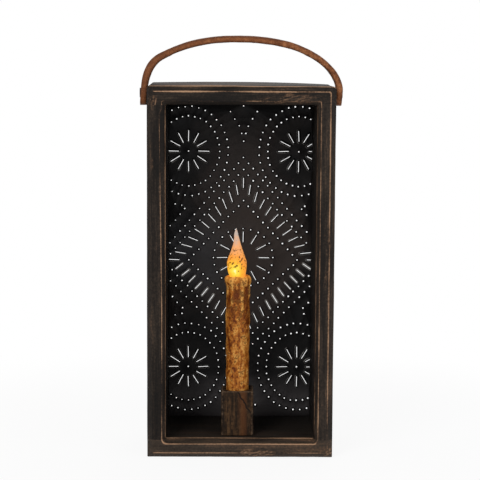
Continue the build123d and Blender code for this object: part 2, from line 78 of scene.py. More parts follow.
class Wire:
    """A shader socket that takes part in arithmetic: an expression on wires adds its Math nodes."""

    def __init__(self, graph: "Graph", socket: bpy.types.NodeSocket) -> None:
        """Keeps the socket and the graph that it belongs to."""
        self.graph = graph
        self.socket = socket

    def __add__(self, other: "Wire | float") -> "Wire":
        """Sum."""
        return self.graph.maths("ADD", self, other)

    def __radd__(self, other: float) -> "Wire":
        """Sum with a number on the left."""
        return self.graph.maths("ADD", other, self)

    def __sub__(self, other: "Wire | float") -> "Wire":
        """Difference."""
        return self.graph.maths("SUBTRACT", self, other)

    def __rsub__(self, other: float) -> "Wire":
        """Difference from a number on the left."""
        return self.graph.maths("SUBTRACT", other, self)

    def __mul__(self, other: "Wire | float") -> "Wire":
        """Product."""
        return self.graph.maths("MULTIPLY", self, other)

    def __rmul__(self, other: float) -> "Wire":
        """Product with a number on the left."""
        return self.graph.maths("MULTIPLY", other, self)

    def __truediv__(self, other: "Wire | float") -> "Wire":
        """Quotient."""
        return self.graph.maths("DIVIDE", self, other)

    def __abs__(self) -> "Wire":
        """Size without its sign."""
        return self.graph.maths("ABSOLUTE", self)

    def high(self, other: "Wire | float") -> "Wire":
        """The larger of two values."""
        return self.graph.maths("MAXIMUM", self, other)

    def rise(self, start: float, end: float) -> "Wire":
        """A soft step.

        Args:
            start: Value where the result is still 0.
            end: Value where the result has reached 1. It may lie below start.

        Returns:
            A value from 0 to 1.
        """
        settings = {"interpolation_type": "SMOOTHSTEP"}
        sockets = {"Value": self, "From Min": start, "From Max": end}
        return self.graph.node("ShaderNodeMapRange", settings, sockets)


class Graph:
    """The node tree of one finish, or of the world."""

    def __init__(self, owner: bpy.types.Material | bpy.types.World) -> None:
        """Empties the node tree of a material or a world.

        Args:
            owner: The material or the world.
        """
        owner.use_nodes = True
        self.owner = owner
        self.tree = owner.node_tree
        self.tree.nodes.clear()
        self._place: Wire | None = None

    @classmethod
    def named(cls, name: str) -> "Graph":
        """The empty tree of a new material."""
        return cls(bpy.data.materials.new(name))

    def add(self, kind: str, settings: dict, sockets: dict) -> bpy.types.Node:
        """Adds one node. Every node is made here.

        Args:
            kind: Blender's name of the node type.
            settings: Its own settings, set first. The key stops holds the (place, colour) stops of a ramp.
            sockets: Values or wires for its input sockets, by name or by number.

        Returns:
            The node.
        """
        node = self.tree.nodes.new(kind)
        for key, value in settings.items():
            if key == "stops":
                self._fill_ramp(node.color_ramp, value)
            else:
                setattr(node, key, value)
        for key, value in sockets.items():
            if isinstance(value, Wire):
                self.tree.links.new(value.socket, node.inputs[key])
            else:
                node.inputs[key].default_value = value
        return node

    def node(self, kind: str, settings: dict, sockets: dict, outlet: int | str = 0) -> Wire:
        """Adds one node and returns the output socket of the given name or number."""
        return Wire(self, self.add(kind, settings, sockets).outputs[outlet])

    @staticmethod
    def _fill_ramp(ramp: bpy.types.ColorRamp, stops: Sequence[tuple[float, Colour]]) -> None:
        """Gives a ramp its stops.

        Args:
            ramp: The ramp.
            stops: Place and colour of each stop.
        """
        while len(ramp.elements) < len(stops):
            ramp.elements.new(0.5)
        for element, (place, colour) in zip(ramp.elements, stops):
            element.position = place
            element.color = (*colour, 1.0)

    def maths(self, operation: str, *values: Wire | float) -> Wire:
        """Adds one Math node on the given values."""
        return self.node("ShaderNodeMath", {"operation": operation}, dict(enumerate(values)))

    @property
    def place(self) -> Wire:
        """Where a point lies on the object at rest."""
        if self._place is None:
            self._place = self.node("ShaderNodeTexCoord", {}, {}, "Object")
        return self._place

    def axis(self, number: int) -> Wire:
        """One coordinate of a point, 0 for X to 2 for Z."""
        return self.node("ShaderNodeSeparateXYZ", {}, {0: self.place}, number)

    def stretched(self, scales: Triple | float, shift: float = 0.0) -> Wire:
        """The point, scaled and moved.

        Args:
            scales: Scale on each axis, or alike on all.
            shift: How far it is moved, on each axis the same.

        Returns:
            The new point.
        """
        scales = scales if isinstance(scales, tuple) else (scales,) * 3
        scaled = self.node("ShaderNodeVectorMath", {"operation": "MULTIPLY"}, {0: self.place, 1: scales})
        moved = {0: scaled, 1: (shift, shift, shift)}
        return self.node("ShaderNodeVectorMath", {"operation": "ADD"}, moved)

    def noise(
        self, scales: Triple | float, detail: float = 3.0, rough: float = 0.5, shift: float = 0.0
    ) -> Wire:
        """Cloudy noise.

        Args:
            scales: Features in a metre, on each axis or alike on all.
            detail: Octaves.
            rough: Strength of the finer octaves.
            shift: Moves the noise, so that two finishes differ.

        Returns:
            A value round 0.5.
        """
        vector = self.stretched(scales, shift)
        sockets = {"Vector": vector, "Scale": 1.0, "Detail": detail, "Roughness": rough}
        return self.node("ShaderNodeTexNoise", {}, sockets)

    def streaks(self, angle: float, along: float, across: float, shift: float = 0.0) -> Wire:
        """Noise drawn out into streaks that lie at an angle in the XZ plane.

        Args:
            angle: Angle from +X in degrees.
            along: Features in a metre along the streaks.
            across: Features in a metre across them.
            shift: Moves the noise.

        Returns:
            A value round 0.5.
        """
        c, s = math.cos(math.radians(angle)), math.sin(math.radians(angle))
        x, y, z = self.axis(0), self.axis(1), self.axis(2)
        sockets = {0: (x * c + z * s) * along + shift, 1: y * across, 2: (z * c - x * s) * across}
        vector = self.node("ShaderNodeCombineXYZ", {}, sockets)
        return self.node("ShaderNodeTexNoise", {}, {"Vector": vector, "Scale": 1.0, "Detail": 3.0})

    def near(self, x: float, z: float, reach_x: float, reach_z: float) -> Wire:
        """1 at a place on the front, falling to 0 at its reach."""
        across = (self.axis(0) - x) / reach_x
        up = (self.axis(2) - z) / reach_z
        return (across * across + up * up).rise(1.0, 0.0)

    def cells(self, scales: Triple | float, shift: float = 0.0) -> Wire:
        """Distance to the nearest of scattered points, for speckles and grain."""
        sockets = {"Vector": self.stretched(scales, shift), "Scale": 1.0}
        return self.node("ShaderNodeTexVoronoi", {}, sockets, "Distance")

    def value(self, name: str) -> Wire:
        """A per-point value that the mesh carries."""
        return self.node("ShaderNodeAttribute", {"attribute_name": name}, {}, "Fac")

    def ramp(self, factor: Wire, stops: Sequence[tuple[float, Colour]]) -> Wire:
        """Colours along a value."""
        return self.node("ShaderNodeValToRGB", {"stops": stops}, {0: factor}, "Color")

    def blend(self, first: Wire | Colour, second: Wire | Colour, share: Wire | float) -> Wire:
        """Brings two colours together by a share of the second."""
        settings = {"data_type": "RGBA", "blend_type": "MIX", "clamp_factor": True}
        both = [c if isinstance(c, Wire) else (*c, 1.0) for c in (first, second)]
        return self.node("ShaderNodeMix", settings, {0: share, 6: both[0], 7: both[1]}, 2)

    def bump(self, height: Wire, depth: float) -> Wire:
        """A normal bumped by a height from 0 to 1, where 1 stands for a depth in metres."""
        return self.node("ShaderNodeBump", {}, {"Height": height, "Distance": depth, "Strength": 1.0})

    def finish(self, sockets: dict, constants: Values | None = None) -> bpy.types.Material:
        """Ends the tree in one Principled shader.

        Args:
            sockets: Varying values and wires, by socket name.
            constants: Values that are the same all over, by socket name.

        Returns:
            The material.
        """
        shader = self.node("ShaderNodeBsdfPrincipled", {}, {**(constants or {}), **sockets})
        self.add("ShaderNodeOutputMaterial", {}, {"Surface": shader})
        return self.owner


class Draft:
    """Points, faces and per-point values of a piece while it is being made."""

    def __init__(self) -> None:
        """Starts with nothing."""
        self.points: list[Vector] = []
        self.faces: list[tuple[int, ...]] = []
        self.values: dict[str, list[float]] = {}

    def ring(self, points: Iterable[Vector], **values: Sequence[float] | float) -> list[int]:
        """Adds points and returns their numbers.

        Args:
            points: The new points.
            **values: Per-point values, one for all or one for each.

        Returns:
            The numbers of the new points.
        """
        first = len(self.points)
        self.points.extend(points)
        count = len(self.points) - first
        for name, given in values.items():
            column = self.values.setdefault(name, [0.0] * first)
            column.extend([0.0] * (first - len(column)))
            column.extend(given if isinstance(given, (list, tuple)) else [given] * count)
        return list(range(first, first + count))

    def skin(self, low: Sequence[int], high: Sequence[int]) -> None:
        """Joins two closed rings with equally many points."""
        for i in range(len(low)):
            self.faces.append((low[i - 1], low[i], high[i], high[i - 1]))

    def stack(self, rings: Sequence[Sequence[int]]) -> None:
        """Joins rings one after another."""
        for low, high in zip(rings, rings[1:]):
            self.skin(low, high)

    def fan(self, ring: Sequence[int], centre: Vector, **values: float) -> None:
        """Closes a ring with a fan of triangles round a point."""
        middle = self.ring([centre], **values)[0]
        for i in range(len(ring)):
            self.faces.append((ring[i], ring[(i + 1) % len(ring)], middle))

    def mesh(self, name: str, sharp: float = 35.0) -> bpy.types.Mesh:
        """Turns the draft into a mesh with its faces outward.

        Args:
            name: Name of the mesh.
            sharp: Angle between faces, in degrees, above which an edge shades sharp.

        Returns:
            The mesh.
        """
        mesh = bpy.data.meshes.new(name)
        mesh.from_pydata([tuple(p) for p in self.points], [], self.faces)
        for key, column in self.values.items():
            column.extend([0.0] * (len(self.points) - len(column)))
            attribute = mesh.attributes.new(key, "FLOAT", "POINT")
            attribute.data.foreach_set("value", column)
        return settle(mesh, sharp)


def settle(mesh: bpy.types.Mesh, sharp: float) -> bpy.types.Mesh:
    """Turns a mesh's faces outward and shades it smooth.

    Args:
        mesh: The mesh.
        sharp: Angle between faces, in degrees, above which an edge shades sharp.

    Returns:
        The same mesh.
    """
    work = bmesh.new()
    work.from_mesh(mesh)
    bmesh.ops.recalc_face_normals(work, faces=work.faces)
    work.to_mesh(mesh)
    work.free()
    mesh.polygons.foreach_set("use_smooth", [True] * len(mesh.polygons))
    mesh.set_sharp_from_angle(angle=math.radians(sharp))
    mesh.update()
    return mesh


def placed(name: str, data: bpy.types.ID) -> bpy.types.Object:
    """Adds an object to the scene."""
    new = bpy.data.objects.new(name, data)
    bpy.context.scene.collection.objects.link(new)
    return new


def present(
    mesh: bpy.types.Mesh,
    material: bpy.types.Material,
    body: str,
    replaces: Sequence[str] = (),
) -> bpy.types.Object:
    """Shows a finished mesh as a piece of the lantern.

    Args:
        mesh: Mesh in the frame's place.
        material: Its finish.
        body: CAD body that it rides on.
        replaces: CAD nodes that it stands for.

    Returns:
        The piece.
    """
    piece = placed(mesh.name, mesh)
    mesh.materials.append(material)
    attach(piece, body)
    if replaces:
        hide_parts(*replaces)
    LOG.info("piece %s: %d faces on %s", piece.name, len(mesh.polygons), body)
    return piece


def ripple(point: Vector, scale: float, seed: float) -> float:
    """Smooth seeded noise from 0 to 1 at a point, with features of the given size in metres."""
    return 0.5 + 0.5 * noise.noise(point / scale + Vector((seed, seed * 1.7, seed * 0.6)))


def arc(middle: Spot, radius: float, start: float, end: float, steps: int) -> list[Spot]:
    """Points on an arc, with its ends, by angles in degrees."""
    turns = [math.radians(start + (end - start) * i / steps) for i in range(steps + 1)]
    return [(middle[0] + radius * math.cos(t), middle[1] + radius * math.sin(t)) for t in turns]


def circle(centre: Vector, side: Vector, across: Vector, radius: float, steps: int) -> list[Vector]:
    """Points of a circle, from the first of its two directions towards the second."""
    turns = [2 * math.pi * i / steps for i in range(steps)]
    return [centre + side * math.cos(t) * radius + across * math.sin(t) * radius for t in turns]


def rounded(
    corners: Sequence[Triple], radius: float, turn_steps: int, divisions: Sequence[int]
) -> list[tuple[float, float, bool]]:
    """Points round a box with rounded corners.

    Args:
        corners: Middle of each corner's arc and its first angle in degrees, in order.
        radius: Radius of the corners.
        turn_steps: Steps of each arc.
        divisions: Parts of the sides between the corners, used in turn.

    Returns:
        Both coordinates of each point, and whether it is on a corner.
    """
    turns = [arc((u, v), radius, start, start + 90, turn_steps) for u, v, start in corners]
    points = []
    for number, spots in enumerate(turns):
        points += [(u, v, True) for u, v in spots]
        (u, v), (next_u, next_v) = spots[-1], turns[(number + 1) % len(turns)][0]
        count = divisions[number % len(divisions)]
        shares = [i / count for i in range(1, count)]
        points += [(u + (next_u - u) * share, v + (next_v - v) * share, False) for share in shares]
    return points


def smooth_curve(stops: Sequence[Spot], at: float) -> float:
    """Value of a smooth curve through stops, level before the first and after the last.

    Args:
        stops: Place and value of each stop, in order.
        at: Place where the value is wanted.

    Returns:
        The value.
    """
    for i, (start, end) in enumerate(zip(stops, stops[1:])):
        if at <= end[0]:
            before = stops[max(0, i - 1)][1]
            after = stops[min(len(stops) - 1, i + 2)][1]
            k = max(0.0, (at - start[0]) / (end[0] - start[0]))
            square, cube = k * k, k * k * k
            value = (2 * cube - 3 * square + 1) * start[1] + (3 * square - 2 * cube) * end[1]
            value += (cube - 2 * square + k) * (end[1] - before) / 2
            return value + (cube - square) * (after - start[1]) / 2
    return stops[-1][1]


@dataclass(frozen=True)
class Scuff:
    """A patch on the front where the sandpaper's strokes show, slanting by an angle in degrees."""

    x: float
    z: float
    reach_x: float
    reach_z: float
    angle: float
    amount: float


@dataclass(frozen=True)
class WornStain:
    """Charcoal stain on a board, sanded through to tan wood along its edges, and darkened by painted shade
    inside the case.
    """

    name: str
    grain: Axis
    shift: float
    scuffs: tuple[Scuff, ...] = ()
    sanding: float = 0.0
    deep: Colour = (0.0036, 0.0028, 0.0025)
    body: Colour = (0.0115, 0.0080, 0.0060)
    light: Colour = (0.0480, 0.0340, 0.0245)
    fringe: Colour = (0.110, 0.056, 0.030)
    bare: Colour = (0.410, 0.245, 0.145)
    # Near-black colour of the painted shade inside the case.
    inside_shade: Colour = (0.0035, 0.0032, 0.0032)

    def make(self) -> bpy.types.Material:
        """Builds the finish.

        Returns:
            The material.
        """
        g = Graph.named(self.name)
        along = self.grain is Axis.ALONG_Z
        streak = (720.0, 720.0, 30.0) if along else (30.0, 720.0, 720.0)
        broad = (150.0, 150.0, 12.0) if along else (12.0, 150.0, 150.0)
        fine = g.noise(streak, 4.0, 0.7, self.shift)
        coarse = g.noise(broad, 3.0, 0.55, self.shift + 3.0)
        patchy = (70.0, 70.0, 14.0) if along else (14.0, 70.0, 70.0)
        cloud = g.noise(patchy, 4.0, 0.6, self.shift + 7.0)
        grit = g.noise(620.0, 3.0, 0.65, self.shift + 11.0)
        tone = fine * 0.3 + coarse * 0.2 + cloud * 0.3 + grit * 0.2 + self.sanding * 0.1
        stain = g.ramp(tone, [(0.40, self.deep), (0.49, self.body), (0.62, self.light)])
        edge, sanded = g.value("edge"), g.value("open")
        rub = edge * 0.80 + (cloud - 0.5) * 1.0 + (grit - 0.5) * 0.4 + (fine - 0.5) * 0.45
        scratch = (coarse - 0.5) * 1.3 + (cloud - 0.5) * 1.2 + (fine - 0.5) * 1.2 + (grit - 0.5) * 0.9
        scratch = scratch + self.sanding * 0.22
        for patch in self.scuffs:
            strokes = g.streaks(patch.angle, 60.0, 700.0, self.shift)
            local = g.near(patch.x, patch.z, patch.reach_x, patch.reach_z)
            scratch = scratch + local * (strokes - 0.40) * 3.4 * patch.amount
        browned = (rub.rise(0.30, 0.56) * sanded * 0.7).high(scratch.rise(0.2, 0.6) * 0.5)
        colour = g.blend(stain, self.fringe, browned)
        colour = g.blend(colour, self.bare, rub.rise(0.40, 0.78) * sanded * 0.92)
        colour = g.blend(colour, self.bare, scratch.rise(0.42, 0.95) * 0.45 * sanded)
        # Painted shade: the stain goes towards near black inside the case, as far as the shade value says.
        colour = g.blend(colour, self.inside_shade, g.value("shade"))
        normal = g.bump(fine * 0.5 + grit * 0.5, 0.40 * MM)
        return g.finish(
            {"Base Color": colour, "Roughness": 0.48 + fine * 0.2 + grit * 0.12, "Normal": normal},
            {"Specular IOR Level": 0.16},
        )


@dataclass(frozen=True)
class BlackenedTin:
    """Thin sheet blackened all over, with painted highlights and painted shade on the raised lips of its
    punch marks and painted patches of light on its face.

    Each sheen is the place and the reach of a patch of painted light, across and up.
    """

    name: str = "blackened_tin"
    # dark is the painted shade next to the holes, low and mid the tin in painted shade and in painted light,
    # cool and bounce the painted sheens, lip the painted highlight.
    dark: Colour = (0.0042, 0.0040, 0.0042)
    low: Colour = (0.0050, 0.0047, 0.0050)
    mid: Colour = (0.0350, 0.0268, 0.0240)
    cool_sheen: Colour = (0.0440, 0.0460, 0.0520)
    bounce: Colour = (0.0750, 0.0680, 0.0700)
    lip: Colour = (0.42, 0.40, 0.38)
    middle_sheen: Four = (4 * MM, 165 * MM, 66 * MM, 92 * MM)
    upper_sheen: Four = (4 * MM, 252 * MM, 48 * MM, 40 * MM)
    left_sheen: Four = (-34 * MM, 158 * MM, 34 * MM, 44 * MM)
    foot_sheen: Four = (0.0, 22 * MM, 110 * MM, 36 * MM)

    def make(self) -> bpy.types.Material:
        """Builds the finish.

        Returns:
            The material.
        """
        g = Graph.named(self.name)
        cloud = g.noise(38.0, 4.0, 0.6)
        fine = g.noise(560.0, 3.0, 0.6, 5.0)
        # Painted light: paler in the middle and near the top, left in painted shade towards the sides, with
        # noise.
        level = g.near(*self.middle_sheen) * 0.80 + g.near(*self.upper_sheen) * 0.35
        level = level + (cloud - 0.5) * 1.1 + (fine - 0.5) * 0.3
        skin = g.blend(self.low, self.mid, level.rise(-0.1, 0.75))
        # Painted sheen: a cool patch on the left, and painted bounce light near the foot.
        skin = g.blend(skin, self.cool_sheen, g.near(*self.left_sheen) * (cloud * 1.5) * 0.75)
        skin = g.blend(skin, self.bounce, g.near(*self.foot_sheen) * 0.8)
        # Painted highlight on the lips round the marks, and painted shade next to the holes where the lip
        # value is below 0.
        lip = g.value("lip")
        lip_highlight = (lip + (fine - 0.5) * 0.7 + (cloud - 0.5) * 0.4).rise(0.20, 1.0)
        colour = g.blend(skin, self.lip, lip_highlight * 0.60)
        colour = g.blend(colour, self.dark, (lip * -1.0).rise(0.05, 0.7) * 0.85)
        normal = g.bump(cloud * 0.7 + fine * 0.3, 0.15 * MM)
        rough = 0.34 + fine * 0.2 + cloud * 0.1
        return g.finish(
            {"Base Color": colour, "Roughness": rough, "Metallic": 0.25 + lip_highlight * 0.3, "Normal": normal},
            {"Specular IOR Level": 0.2},
        )


@dataclass(frozen=True)
class StrapLeather:
    """Saddle leather: grained outside, fibrous cut edges that are darker at their rims, with painted shade
    on its left and painted light on its right and on the outer left shoulder.
    """

    name: str = "saddle_leather"
    dark: Colour = (0.070, 0.022, 0.008)
    mid: Colour = (0.205, 0.066, 0.020)
    pale: Colour = (0.370, 0.150, 0.060)

    def make(self) -> bpy.types.Material:
        """Builds the finish.

        Returns:
            The material.
        """
        g = Graph.named(self.name)
        mottle = g.noise(260.0, 5.0, 0.65)
        fibre = g.noise((1500.0, 900.0, 1500.0), 3.0, 0.6, 4.0)
        pores = g.cells(900.0, 2.0)
        colour = g.ramp(mottle * 0.6 + fibre * 0.4, [(0.32, self.dark), (0.5, self.mid), (0.70, self.pale)])
        # The edge value holds the darker rims and the painted shade on the strap's left.
        rim = g.value("edge")
        colour = g.blend(colour, self.dark, rim * 0.62)
        # Painted light: paler on the right and on the outer left shoulder, broken by the mottle.
        worn = (g.value("worn") + (mottle - 0.5) * 1.2).rise(0.5, 0.9)
        colour = g.blend(colour, self.pale, worn * 0.7)
        normal = g.bump(fibre * 0.6 + pores * 0.4, 0.30 * MM)
        return g.finish(
            {"Base Color": colour, "Roughness": 0.48 + mottle * 0.25, "Normal": normal},
            {"Specular IOR Level": 0.2},
        )


@dataclass(frozen=True)
class BlockStain:
    """Rough-sawn block with a dark brown stain, upright grain, a red-brown streak and painted shade in its
    crack.
    """

    name: str = "block_stain"
    deep: Colour = (0.0050, 0.0026, 0.0014)
    body: Colour = (0.0230, 0.0115, 0.0050)
    light: Colour = (0.0880, 0.0450, 0.0190)
    streak: Colour = (0.110, 0.038, 0.011)
    bare: Colour = (0.15, 0.10, 0.065)
    streak_x: float = 2.2 * MM
    streak_width: float = 4.5 * MM

    def make(self) -> bpy.types.Material:
        """Builds the finish.

        Returns:
            The material.
        """
        g = Graph.named(self.name)
        fine = g.noise((900.0, 900.0, 70.0), 4.0, 0.7, 2.0)
        coarse = g.noise((260.0, 260.0, 22.0), 3.0, 0.6, 9.0)
        spots = g.noise(420.0, 3.0, 0.6, 6.0)
        tone = fine * 0.45 + coarse * 0.3 + spots * 0.25
        colour = g.ramp(tone, [(0.40, self.deep), (0.5, self.body), (0.63, self.light)])
        from_streak = abs(g.axis(0) - self.streak_x) / self.streak_width
        red = (from_streak + (coarse - 0.5) * 1.6).rise(1.0, 0.1)
        colour = g.blend(colour, self.streak, red * 0.55)
        edge = g.value("edge")
        colour = g.blend(colour, self.bare, (edge * 0.8 + (spots - 0.5)).rise(0.45, 0.85) * 0.7)
        # Painted shade: the crack is darkened to near black.
        colour = g.blend(colour, (0.003, 0.002, 0.0015), g.value("crack").rise(0.1, 0.6))
        normal = g.bump(fine, 0.45 * MM)
        return g.finish(
            {"Base Color": colour, "Roughness": 0.60 + fine * 0.2, "Normal": normal},
            {"Specular IOR Level": 0.15},
        )


@dataclass(frozen=True)
class DippedWax:
    """Ochre wax mottled with dark spice, with paler drips, a satin shine and a painted glow of the flame's
    light near the rim.
    """

    name: str = "dipped_wax"
    pale: Colour = (0.66, 0.325, 0.075)
    body: Colour = (0.37, 0.115, 0.013)
    brown: Colour = (0.110, 0.024, 0.004)
    spice: Colour = (0.070, 0.016, 0.004)
    flame_light: Colour = (1.0, 0.36, 0.045)

    def make(self) -> bpy.types.Material:
        """Builds the finish.

        Returns:
            The material.
        """
        g = Graph.named(self.name)
        cloud = g.noise((200.0, 200.0, 65.0), 5.0, 0.65)
        blot = g.noise((360.0, 360.0, 260.0), 4.0, 0.62, 3.0)
        specks = g.noise(760.0, 3.0, 0.6, 8.0)
        drip, spice = g.value("drip"), g.value("spice")
        tone = cloud * 0.45 + blot * 0.55 + drip * 0.15 - spice * 0.055
        colour = g.ramp(tone, [(0.415, self.brown), (0.49, self.body), (0.585, self.pale)])
        dark = (specks * 0.35 + blot * 0.65 + spice * 0.10 - drip * 0.05).rise(0.55, 0.60)
        colour = g.blend(colour, self.spice, dark * 0.80)
        # Painted light: near the rim and in the cup the wax is tinted and made to glow with the flame's
        # light.
        glow = g.value("glow")
        colour = g.blend(colour, self.flame_light, glow * 0.25)
        normal = g.bump(cloud * 0.4 + blot * 0.4 + specks * 0.2, 1.0 * MM)
        return g.finish(
            {
                "Base Color": colour,
                "Roughness": 0.30 + blot * 0.25 + dark * 0.4,
                "Emission Color": g.blend((0.0, 0.0, 0.0), self.flame_light, glow * 0.16),
                "Normal": normal,
            },
            {"Specular IOR Level": 0.14, "Emission Strength": 1.0},
        )


@dataclass(frozen=True)
class FlameSkin:
    """Soft dipped cover that glows: white-yellow near its foot, orange in the belly, silvery at the tip."""

    name: str = "flame_skin"
    white: Colour = (1.0, 0.97, 0.66)
    hot: Colour = (1.0, 0.75, 0.075)
    gold: Colour = (1.0, 0.48, 0.035)
    amber: Colour = (0.92, 0.33, 0.045)
    peach: Colour = (0.82, 0.38, 0.16)
    silver: Colour = (0.47, 0.40, 0.35)
    spice: Colour = (0.075, 0.020, 0.005)

    def make(self) -> bpy.types.Material:
        """Builds the finish.

        Returns:
            The material.
        """
        g = Graph.named(self.name)
        blot = g.noise(300.0, 4.0, 0.6, 3.0)
        grains = g.noise((560.0, 560.0, 470.0), 3.0, 0.6, 7.0)
        height, far = g.value("height"), g.value("far")
        level = far * 0.52 + height.rise(0.30, 1.0) * 0.48 + (blot - 0.5) * 0.36
        colour = g.ramp(
            level,
            [
                (0.01, self.white),
                (0.10, self.hot),
                (0.29, self.gold),
                (0.52, self.amber),
                (0.82, self.peach),
                (1.00, self.silver),
            ],
        )
        band = height.rise(0.22, 0.36) * height.rise(0.80, 0.50)
        dark = (grains + band * 0.11 - 0.03).rise(0.61, 0.67)
        colour = g.blend(colour, self.spice, dark * 0.88)
        normal = g.bump(blot, 0.5 * MM)
        return g.finish(
            {
                "Base Color": g.blend(colour, (0.0, 0.0, 0.0), 0.72),
                "Emission Color": colour,
                "Roughness": 0.35 + blot * 0.2,
                "Normal": normal,
            },
            {"Emission Strength": 0.86, "Specular IOR Level": 0.15},
        )


@dataclass(frozen=True)
class DarkSteel:
    """Fastener steel with a dull dark skin and small rust freckles."""

    name: str = "dark_steel"
    dark: Colour = (0.055, 0.052, 0.050)
    light: Colour = (0.20, 0.19, 0.18)
    rust: Colour = (0.12, 0.045, 0.018)

    def make(self) -> bpy.types.Material:
        """Builds the finish.

        Returns:
            The material.
        """
        g = Graph.named(self.name)
        cloud = g.noise(700.0, 4.0, 0.6)
        fine = g.noise(2600.0, 2.0, 0.5, 3.0)
        colour = g.ramp(cloud * 0.7 + fine * 0.3, [(0.35, self.dark), (0.65, self.light)])
        colour = g.blend(colour, self.rust, cloud.rise(0.58, 0.68) * 0.6)
        normal = g.bump(fine, 0.05 * MM)
        return g.finish(
            {"Base Color": colour, "Roughness": 0.38 + cloud * 0.3, "Metallic": 0.85, "Normal": normal}
        )


@dataclass(frozen=True)
class PlainFinish:
    """Finish of a small or hidden piece: two close tones, a fine grain and a roughness."""

    name: str
    first: Colour
    second: Colour
    rough: float
    metal: float = 0.0
    grain: float = 900.0

    def make(self) -> bpy.types.Material:
        """Builds the finish.

        Returns:
            The material.
        """
        g = Graph.named(self.name)
        cloud = g.noise(self.grain * 0.3, 3.0, 0.5)
        fine = g.noise(self.grain * 2.0, 2.0, 0.5, 4.0)
        colour = g.ramp(cloud * 0.5 + fine * 0.5, [(0.38, self.first), (0.62, self.second)])
        normal = g.bump(fine, 0.04 * MM)
        rough = self.rough + (fine - 0.5) * 0.15
        return g.finish(
            {"Base Color": colour, "Roughness": rough, "Normal": normal},
            {"Metallic": self.metal},
        )


@dataclass(frozen=True)
class Edge:
    """One corner of the case's cross-section, with the shape of the outline that runs through it.

    Attributes:
        inset: Distance in from the outside at the sides and the top.
        foot_inset: The same at the bottom board.
        y: Place from front to back at the sides and the top.
        foot_y: The same at the bottom board.
        round_off: Radius of the worn edge.
        head_radius: Corner radius of the outline at the top.
        foot_radius: Corner radius of the outline at the bottom.
        wear: How much the stain is sanded off it at the foot, the right, the head and the left.
        drift: How far the left side strays outward at its upper end.
        sanded: 1 where sanding reached, 0 inside.
        shade: How much painted shade darkens the stain behind this edge, inside the case.
    """

    inset: float
    foot_inset: float
    y: float
    foot_y: float
    round_off: float
    head_radius: float
    foot_radius: float
    wear: Four = (0.0, 0.0, 0.0, 0.0)
    drift: float = 0.0
    sanded: float = 1.0
    shade: float = 0.0

    def toward(self, other: "Edge", share: float, keep: float) -> "Edge":
        """A station between this corner and another.

        Args:
            other: The other corner.
            share: How far towards it.
            keep: Share of this corner's wear that the station keeps.

        Returns:
            The station.
        """
        names = ("inset", "foot_inset", "y", "foot_y", "round_off", "head_radius", "foot_radius")
        parts = [getattr(self, n) * (1 - share) + getattr(other, n) * share for n in names]
        drift = self.drift * (1 - share) + other.drift * share
        sanded = self.sanded * (1 - share) + other.sanded * share
        shade = self.shade * (1 - share) + other.shade * share
        return Edge(*parts, tuple(w * keep for w in self.wear), drift, sanded, shade)


